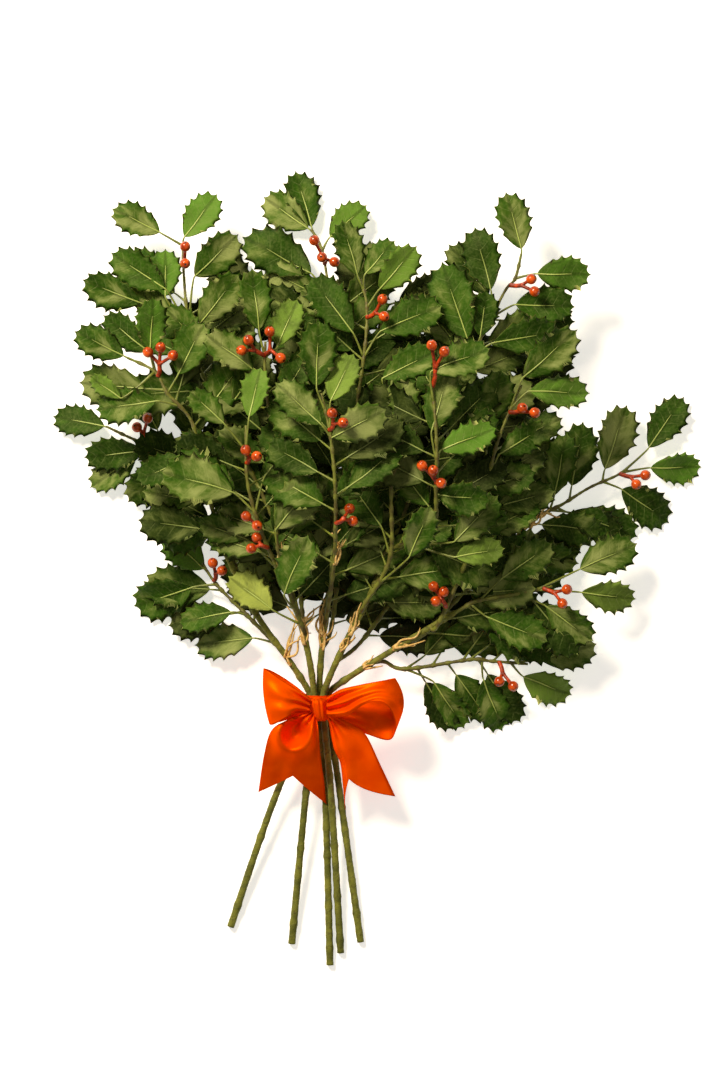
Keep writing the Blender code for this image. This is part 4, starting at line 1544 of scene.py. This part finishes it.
@dataclass
class RaffiaTrim:
    """All the frayed fibres, as one small trim piece.

    Attributes:
        tufts: the tufts that they stand in.
        seed: starts the random draws.
        radius: a fibre's at its foot.
    """

    tufts: tuple[RaffiaTuft, ...] = TUFTS
    seed: int = 77
    radius: float = 0.8

    def build(self, wardrobe: Wardrobe) -> bpy.types.Object:
        """Make tapering fibres that leave each tuft's place together, part, and curl at their ends.

        Args:
            wardrobe: the materials.

        Returns:
            The mesh object.
        """
        rng = np.random.default_rng(self.seed)
        piece = Patchwork("raffia_trim")
        s = np.linspace(0.0, 1.0, 13)[None, :, None]
        for tuft in self.tufts:
            spread = np.radians(tuft.heading + rng.uniform(-20, 20, tuft.count))
            length = tuft.length * rng.uniform(0.35, 1.0, (tuft.count, 1, 1))
            ahead = np.stack([np.cos(spread), np.sin(spread), rng.uniform(0.0, 0.3, tuft.count)], axis=1)
            aside = np.stack([-ahead[:, 1], ahead[:, 0], 0.0 * spread], axis=1)
            swing = rng.uniform(-0.16, 0.16, (tuft.count, 1, 1))
            sway = swing * np.sin(s * rng.uniform(3, 7, (tuft.count, 1, 1)))
            start = tuft.place() + rng.uniform(-1.4, 1.4, (tuft.count, 3))
            paths = start[:, None] + length * (ahead[:, None] * s + aside[:, None] * sway)
            radii = np.broadcast_to(self.radius * (1.0 - 0.6 * s[..., 0] ** 2), paths.shape[:2])
            piece.add(*swept(paths, radii, 6))
        made = piece.make([wardrobe.raffia])
        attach(made, "root")
        return made


@dataclass
class RibbonSheet:
    """A length of satin ribbon as an open surface that is then given its thickness.

    Attributes:
        name: the node's name.
        flat: the cut piece's width and length.
        thickness: the cloth's.
    """

    name: str
    flat: tuple[float, float]
    held: str
    thickness: float = 0.35

    def points(self) -> Array:
        """The surface, shaped (rows along the ribbon, columns across it, 3)."""
        raise NotImplementedError

    def cut_area(self) -> float:
        """The area of the cut piece in square millimetres: a plain rectangle."""
        return self.flat[0] * self.flat[1]

    def build(self, wardrobe: Wardrobe, rests_on: list[str]) -> bpy.types.Object:
        """Make the ribbon in place of its node and log its cloth's area.

        Args:
            wardrobe: the materials.
            rests_on: the nodes that it lies on; not used.

        Returns:
            The mesh object.
        """
        surface = self.points()
        rows, columns = surface.shape[:2]
        steps = np.linalg.norm(np.diff(surface[:, columns // 2], axis=0), axis=1)
        along = np.concatenate([[0.0], np.cumsum(steps)])
        uv = np.stack(np.broadcast_arrays(np.linspace(0, 1, columns)[None, :], along[:, None]), axis=-1)
        piece = Patchwork(self.name + "_satin")
        piece.add(surface[None], uv)
        made = piece.make([wardrobe.satin])
        wall = made.modifiers.new("Thickness", "SOLIDIFY")
        wall.thickness = self.thickness * MM
        wall.offset = 0.0
        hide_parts(self.name)
        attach(made, "root")
        tuple(side * MM for side in self.flat)
        self.cut_area() * MM**2
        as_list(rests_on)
        LOG.info("ribbon: %s, %.1f cm2 of cloth", made.name, area(surface) / 100.0)
        return made


@dataclass
class RibbonStrip(RibbonSheet):
    """Ribbon stretched between the two edges that it was folded to.

    Attributes:
        first: places along its first edge, from the knot on.
        second: places along its second edge, as many or not.
        crown: how far its middle stands above the straight line between its edges.
        bulge: how far its middle stands out, in plan, where a loop turns over.
        pleat: how deep the pleats are at the knot.
        pleats: how many of them lie across it.
        closed: whether both its ends are at the knot.
        rows: how many points lie along it.
        columns: how many lie across it.
    """

    first: tuple[tuple[float, float, float], ...] = ()
    second: tuple[tuple[float, float, float], ...] = ()
    crown: float = 2.0
    bulge: tuple[float, float] = (0.0, 0.0)
    pleat: float = 1.3
    pleats: float = 4.5
    closed: bool = True
    rows: int = 81
    columns: int = 37

    def points(self) -> Array:
        """The strip: straight between two smooth curves, then crowned, bulged and pleated.

        With s from 0 to 1 along and w from -1 to 1 across, the crown is 1 - w^2 times its height and
        dies away at the knot, the bulge is the same times sin^4(pi s), and the pleats are
        cos(pi n w) times a share that falls from 1 at the knot to 0 a third of the way out.

        Returns:
            The surface's points.
        """
        s = np.linspace(0.0, 1.0, self.rows)[:, None]
        w = np.linspace(-1.0, 1.0, self.columns)[None, :]
        surface = self.between_edges(s, w)
        near = np.minimum(s, 1.0 - s) * 2.0 if self.closed else s
        away = np.minimum(near * 1.5, 1.0)
        facing = np.where(s < 0.5, 1.0, -1.0) if self.closed else 1.0
        turn = np.sin(math.pi * s) ** 4 if self.closed else 0.0 * s
        crown = self.crown * (1.0 - w**2) * away * facing * (1.0 - turn)
        fan = np.maximum(1.0 - near * 1.6, 0.0) ** 1.5
        crease = self.pleat * fan * np.cos(math.pi * self.pleats * w + 0.7)
        slack = 0.7 * away * np.cos(2.3 * math.pi * w + 7.0 * s) * (1.0 - w**2)
        out = np.array([*self.bulge, 0.0]) * (turn * (1.0 - w**2))[..., None]
        return surface + out + UP * (crown + crease + slack)[..., None] + self.drape(s, w, surface)

    def between_edges(self, s: Array, w: Array) -> Array:
        """Places on the straight lines between the two edges.

        Args:
            s: the share along both edges.
            w: the place across, from -1 on the first edge to 1 on the second.

        Returns:
            The places.
        """
        rails = []
        for edge in (self.first, self.second):
            path, marks = evenly(smooth_path(edge, 12), 0.5)
            rails.append(np.stack([np.interp(s * marks[-1], marks, path[:, axis]) for axis in range(3)], -1))
        share = (w[..., None] + 1.0) / 2.0
        return rails[0] * (1.0 - share) + rails[1] * share

    def drape(self, s: Array, w: Array, surface: Array) -> Array:
        """Further folds of its own: none on a plain strip."""
        return np.zeros_like(surface)


@dataclass
class SwallowTail(RibbonStrip):
    """A ribbon end that leaves the knot and is cut in a swallow-tail.

    Attributes:
        notch: how far the cut goes in, as a share of its length.
        squeeze: over 1 crowds the cloth towards its first edge, as where that side is folded down.
        fold_drop: how far the folded side hangs below the other.
        hood: centre, half-sizes and height of a rolled hood where the cloth first turns over.
    """

    closed: bool = False
    notch: float = 0.27
    squeeze: float = 1.0
    fold_drop: float = 0.0
    hood: tuple[float, ...] = ()

    def cut_area(self) -> float:
        """The rectangle less the V that is cut from its end."""
        return super().cut_area() * (1.0 - self.notch / 2.0)

    def between_edges(self, s: Array, w: Array) -> Array:
        """The strip's places, with its end cut to a V and its cloth crowded to one side.

        Args:
            s: the share along both edges.
            w: the place across, from -1 on the first edge to 1 on the second.

        Returns:
            The places.
        """
        cut = s * (1.0 - self.notch * (1.0 - np.abs(w)))
        return super().between_edges(cut, 2.0 * ((w + 1.0) / 2.0) ** self.squeeze - 1.0)

    def drape(self, s: Array, w: Array, surface: Array) -> Array:
        """The folded side's drop, and the hood.

        The folded side falls as the square of how far it is past the middle. The hood is a ring
        round its centre, exp(-((r - 1) / 0.5)^2), where r is the distance in its own half-sizes,
        with a bowl of exp(-r^4) inside it.

        Args:
            s: the share along the tail.
            w: the place across it, from -1 to 1.
            surface: the places so far.

        Returns:
            What is added to them.
        """
        drop = -self.fold_drop * np.maximum(-w, 0.0) ** 1.5 * np.minimum(s * 3, 1.0)
        if self.hood:
            x, y, wide, tall, lean, rim, bowl = self.hood
            east, north = surface[..., 0] - x, surface[..., 1] - y
            cos, sin = math.cos(math.radians(lean)), math.sin(math.radians(lean))
            reach = np.hypot((east * cos + north * sin) / wide, (north * cos - east * sin) / tall)
            drop = drop + rim * np.exp(-(((reach - 1.0) / 0.5) ** 2)) - bowl * np.exp(-(reach**4))
        return UP * (drop + 0.0 * s)[..., None]


@dataclass
class BowKnot(RibbonSheet):
    """The ribbon drawn over the crossing: a slanted arch with pleats along it, narrower at its foot.

    Attributes:
        centre: the middle of the arch's foot.
        half_width: half its extent along the stems.
        half_span: half its extent across them.
        height: how far its top stands above its foot.
    """

    centre: tuple[float, float, float] = (0.0, 0.0, 0.0)
    half_width: float = 7.6
    half_span: float = 5.8
    height: float = 10.0

    def points(self) -> Array:
        """Half an ellipse carried across the knot, waisted and slanted, with cosine pleats.

        Returns:
            The surface's points.
        """
        a = np.linspace(-0.2 * math.pi, 1.2 * math.pi, 49)[:, None]
        w = np.linspace(-1.0, 1.0, 49)[None, :]
        crown = np.sin(np.clip(a, 0, math.pi))
        bulge = (1.0 + 0.2 * w - 0.12 * w**2) * (1.0 - 0.5 * np.abs(w) ** 9)
        pleat = 0.6 * np.cos(4.2 * math.pi * np.cos(a) + 1.6 * w) * crown
        x = self.centre[0] - 1.6 * w - (self.half_span * bulge) * np.cos(a)
        z = self.centre[2] + (self.height * bulge) * np.sin(a) + pleat
        y = self.centre[1] + w * self.half_width * (1.0 - 0.05 * crown) + 0.0 * a
        return np.stack([x, y, z], axis=-1)


@dataclass
class TieBand(RibbonSheet):
    """The ribbon wound round the stems, creased lengthways by the pull.

    Attributes:
        inner_radius: the band's, round the stems.
        half_width: half its extent along them.
    """

    inner_radius: float = 10.1
    half_width: float = 6.5

    def points(self) -> Array:
        """A cylinder about the stems, drawn in at its edges, with fine cosine creases.

        Returns:
            The surface's points.
        """
        a = np.linspace(0.0, 2 * math.pi, 97)[:, None]
        w = np.linspace(-1.0, 1.0, 25)[None, :]
        radius = self.inner_radius + 0.35 * np.cos(4 * math.pi * w + np.sin(a)) - 0.3 * w**4
        x = TIE[0] - radius * np.cos(a)
        z = TIE[2] - radius * np.sin(a)
        y = TIE[1] + w * self.half_width + 0.6 * np.sin(a)
        return np.stack([x, y, z], axis=-1)


@dataclass
class SatinBow:
    """The whole bow: a band, a knot, two loops and two tails.

    Attributes:
        width: the ribbon's, before the knot and the band draw it in.
    """

    width: float = 38.0

    def build(self, wardrobe: Wardrobe) -> None:
        """Make each part of the bow and report it.

        Args:
            wardrobe: the materials.
        """
        left_loop = RibbonStrip(
            "bow_loop_left", (self.width, 68.0), "folded", crown=3.0, bulge=(-2.0, 0.0),
            pleat=3.0, pleats=2.6,
            first=((-43, -84, 42), (-52, -77.5, 46), (-64, -70, 48), (-71, -65.5, 46), (-73.4, -63.8, 42),
                   (-67, -66.3, 37), (-55, -74, 34), (-43, -84, 33)),
            second=((-44, -92, 42), (-52, -91.5, 47), (-60, -96, 50), (-67, -100, 47), (-69.6, -99.8, 42),
                    (-64, -99, 37), (-54, -96, 34), (-43, -93, 33)),
        )
        right_loop = RibbonStrip(
            "bow_loop_right", (self.width, 104.0), "folded", crown=2.5, bulge=(5.5, -1.0),
            pleat=3.0, pleats=2.6,
            first=((-33, -83, 42), (-24, -77.5, 46), (-12, -74.5, 48.5), (-1, -72.3, 50), (6, -71.2, 48),
                   (11, -70.8, 41), (9.5, -70.6, 36), (-4, -74, 34), (-20, -79, 33), (-33, -84, 33)),
            second=((-33, -95, 42), (-20, -94.5, 47), (-10, -87.5, 53), (0, -84.4, 56),
                    (7.5, -89, 54), (11.5, -101, 42), (7.7, -110.5, 34), (-6.7, -107, 31),
                    (-21.5, -101, 31), (-33, -97.5, 33)),
        )
        left_tail = SwallowTail(
            "bow_tail_left", (self.width, 64.0), "laid", crown=1.5, pleat=2.2, pleats=3.2, notch=0.26,
            first=((-44, -92, 36), (-58, -97, 41), (-68.5, -104, 43), (-73.5, -120, 36), (-77.6, -145.3, 14)),
            second=((-40, -94, 35), (-38.3, -103, 41), (-37.2, -118, 38), (-35, -136, 24),
                    (-33.2, -153.2, 12)),
            hood=(-53.5, -105.0, 9.0, 11.0, -18.0, 7.0, 8.0),
        )
        right_tail = SwallowTail(
            "bow_tail_right", (self.width, 66.0), "laid", crown=2.5, pleat=2.2, pleats=3.2, notch=0.3,
            squeeze=2.6, fold_drop=9.0,
            first=((-34.5, -95, 34), (-31.5, -99, 34), (-28.4, -115.8, 33), (-24.1, -126, 30),
                   (-22.3, -141.9, 27), (-21, -156.7, 25)),
            second=((-32, -94, 34), (-17, -100, 34.5), (-7.6, -107.1, 34), (2, -127, 30), (11.6, -147.5, 25)),
        )
        parts = (
            (TieBand("tie_band", (13.0, 64.0), "stretched"), ["stem_1", "stem_5"]),
            (left_loop, ["tie_band"]),
            (right_loop, ["tie_band"]),
            (left_tail, ["stem_1"]),
            (right_tail, ["stem_5"]),
            (BowKnot("bow_knot", (22.0, 32.0), "gathered", centre=(-38.2, -90.8, 33.0)), ["tie_band"]),
        )
        for part, rests_on in parts:
            part.build(wardrobe, rests_on)


@dataclass(frozen=True)
class Studio:
    """A pale floor, soft light from above and a camera that looks straight down, all in metres.

    Attributes:
        centre: the place that the camera is over.
        distance: from the camera to the height it is focused on.
        focus_height: that height.
        seen_height: how much of the floor's length the camera sees.
        sensor: the sensor's width in millimetres.
        floor_size: half the floor's side, wide enough to have no edge in sight.
        floor_glow: evens the paper out to white behind the bunch.
        sky: the strength of the light from all round.
        lamps: each lamp's name, place, side and watts.
    """

    centre: tuple[float, float] = (-0.0114, 0.0189)
    distance: float = 3.0
    focus_height: float = 0.02
    seen_height: float = 0.702
    sensor: float = 36.0
    floor_size: float = 20.0
    floor_glow: float = 0.55
    sky: float = 0.17
    lamps: tuple[tuple[str, tuple[float, float, float], float, float], ...] = (
        ("key", (-0.8, 1.05, 1.3), 0.5, 53.0),
        ("fill", (0.5, -0.2, 1.7), 1.6, 5.0),
    )

    def build(self) -> None:
        """Make the floor, the lights, the world and the camera."""
        scene = bpy.context.scene
        mesh = bpy.data.meshes.new("floor")
        cage = bmesh.new()
        bmesh.ops.create_grid(cage, x_segments=1, y_segments=1, size=self.floor_size)
        cage.to_mesh(mesh)
        cage.free()
        floor = bpy.data.objects.new("floor", mesh)
        scene.collection.objects.link(floor)
        paper = bpy.data.materials.new("white paper backdrop")
        paper.use_nodes = True
        fill(paper.node_tree, paper.node_tree.nodes["Principled BSDF"],
             {"Base Color": colour("#fbfbfb"), "Roughness": 0.9, "Emission Color": colour("#ffffff"),
              "Emission Strength": self.floor_glow})
        mesh.materials.append(paper)
        world = bpy.data.worlds.new("studio")
        world.use_nodes = True
        fill(world.node_tree, world.node_tree.nodes["Background"], {0: colour("#fff4e0"), 1: self.sky})
        scene.world = world
        for lamp in self.lamps:
            self.hang(*lamp)
        data = bpy.data.cameras.new("camera")
        data.sensor_width = self.sensor
        data.lens = self.sensor * self.distance / self.seen_height
        data.clip_end = self.floor_size
        camera = bpy.data.objects.new("camera", data)
        camera.location = (*self.centre, self.distance + self.focus_height)
        scene.collection.objects.link(camera)
        scene.camera = camera
        scene.view_settings.view_transform = "Standard"

    @staticmethod
    def hang(name: str, place: tuple[float, float, float], size: float, power: float) -> None:
        """Hang a square soft light, turned towards the bunch.

        Args:
            name: the lamp's name.
            place: where it hangs.
            size: its side.
            power: its watts.
        """
        data = bpy.data.lights.new(name, "AREA")
        data.energy = power
        data.size = size
        data.color = colour("#ffecd0")[:3]
        lamp = bpy.data.objects.new(name, data)
        lamp.location = place
        direction = -np.array(place)
        lamp.rotation_mode = "XYZ"
        yaw = math.atan2(direction[1], direction[0])
        pitch = math.atan2(math.hypot(direction[0], direction[1]), -direction[2])
        lamp.rotation_euler = (pitch, 0.0, yaw - math.pi / 2)
        bpy.context.scene.collection.objects.link(lamp)


def main() -> None:
    """Build the stage, then every part of the bunch in turn."""
    logging.basicConfig(level=logging.INFO, format="%(message)s")
    Studio().build()
    wardrobe = Wardrobe.stocked()
    for seed, (name, points) in enumerate(STEMS.items()):
        LOG.info("stem: %s", TapedStem(name, points, seed).build(wardrobe).name)
    clusters = 0
    for seed, (name, plan) in enumerate(SPRAYS.items()):
        spray = Spray.planned(name, plan, seed)
        LOG.info("spray: %s with %d leaves", spray.build(wardrobe).name, len(spray.places.base))
        for berries in plan.berries:
            clusters += 1
            cluster = BerryCluster(f"berries_{clusters:02d}", spray.twig, berries)
            LOG.info("berries: %s", cluster.build(wardrobe).name)
    for seed, (name, points) in enumerate(UNDERGROWTH.items(), start=50):
        spray = Spray.ruled(name, points, seed)
        LOG.info("undergrowth: %s with %d leaves", spray.build(wardrobe).name, len(spray.places.base))
    for number, (name, berries) in enumerate(INNER_BERRIES, start=1):
        twig = smooth_path(SPRAYS[name].twig, TWIG_STEPS)
        cluster = BerryCluster(f"inner_berries_{number}", twig, berries, has_node=False)
        LOG.info("berries: %s", cluster.build(wardrobe).name)
    LOG.info("trim: %s", RaffiaTrim().build(wardrobe).name)
    SatinBow().build(wardrobe)


if __name__ == "__main__":
    main()
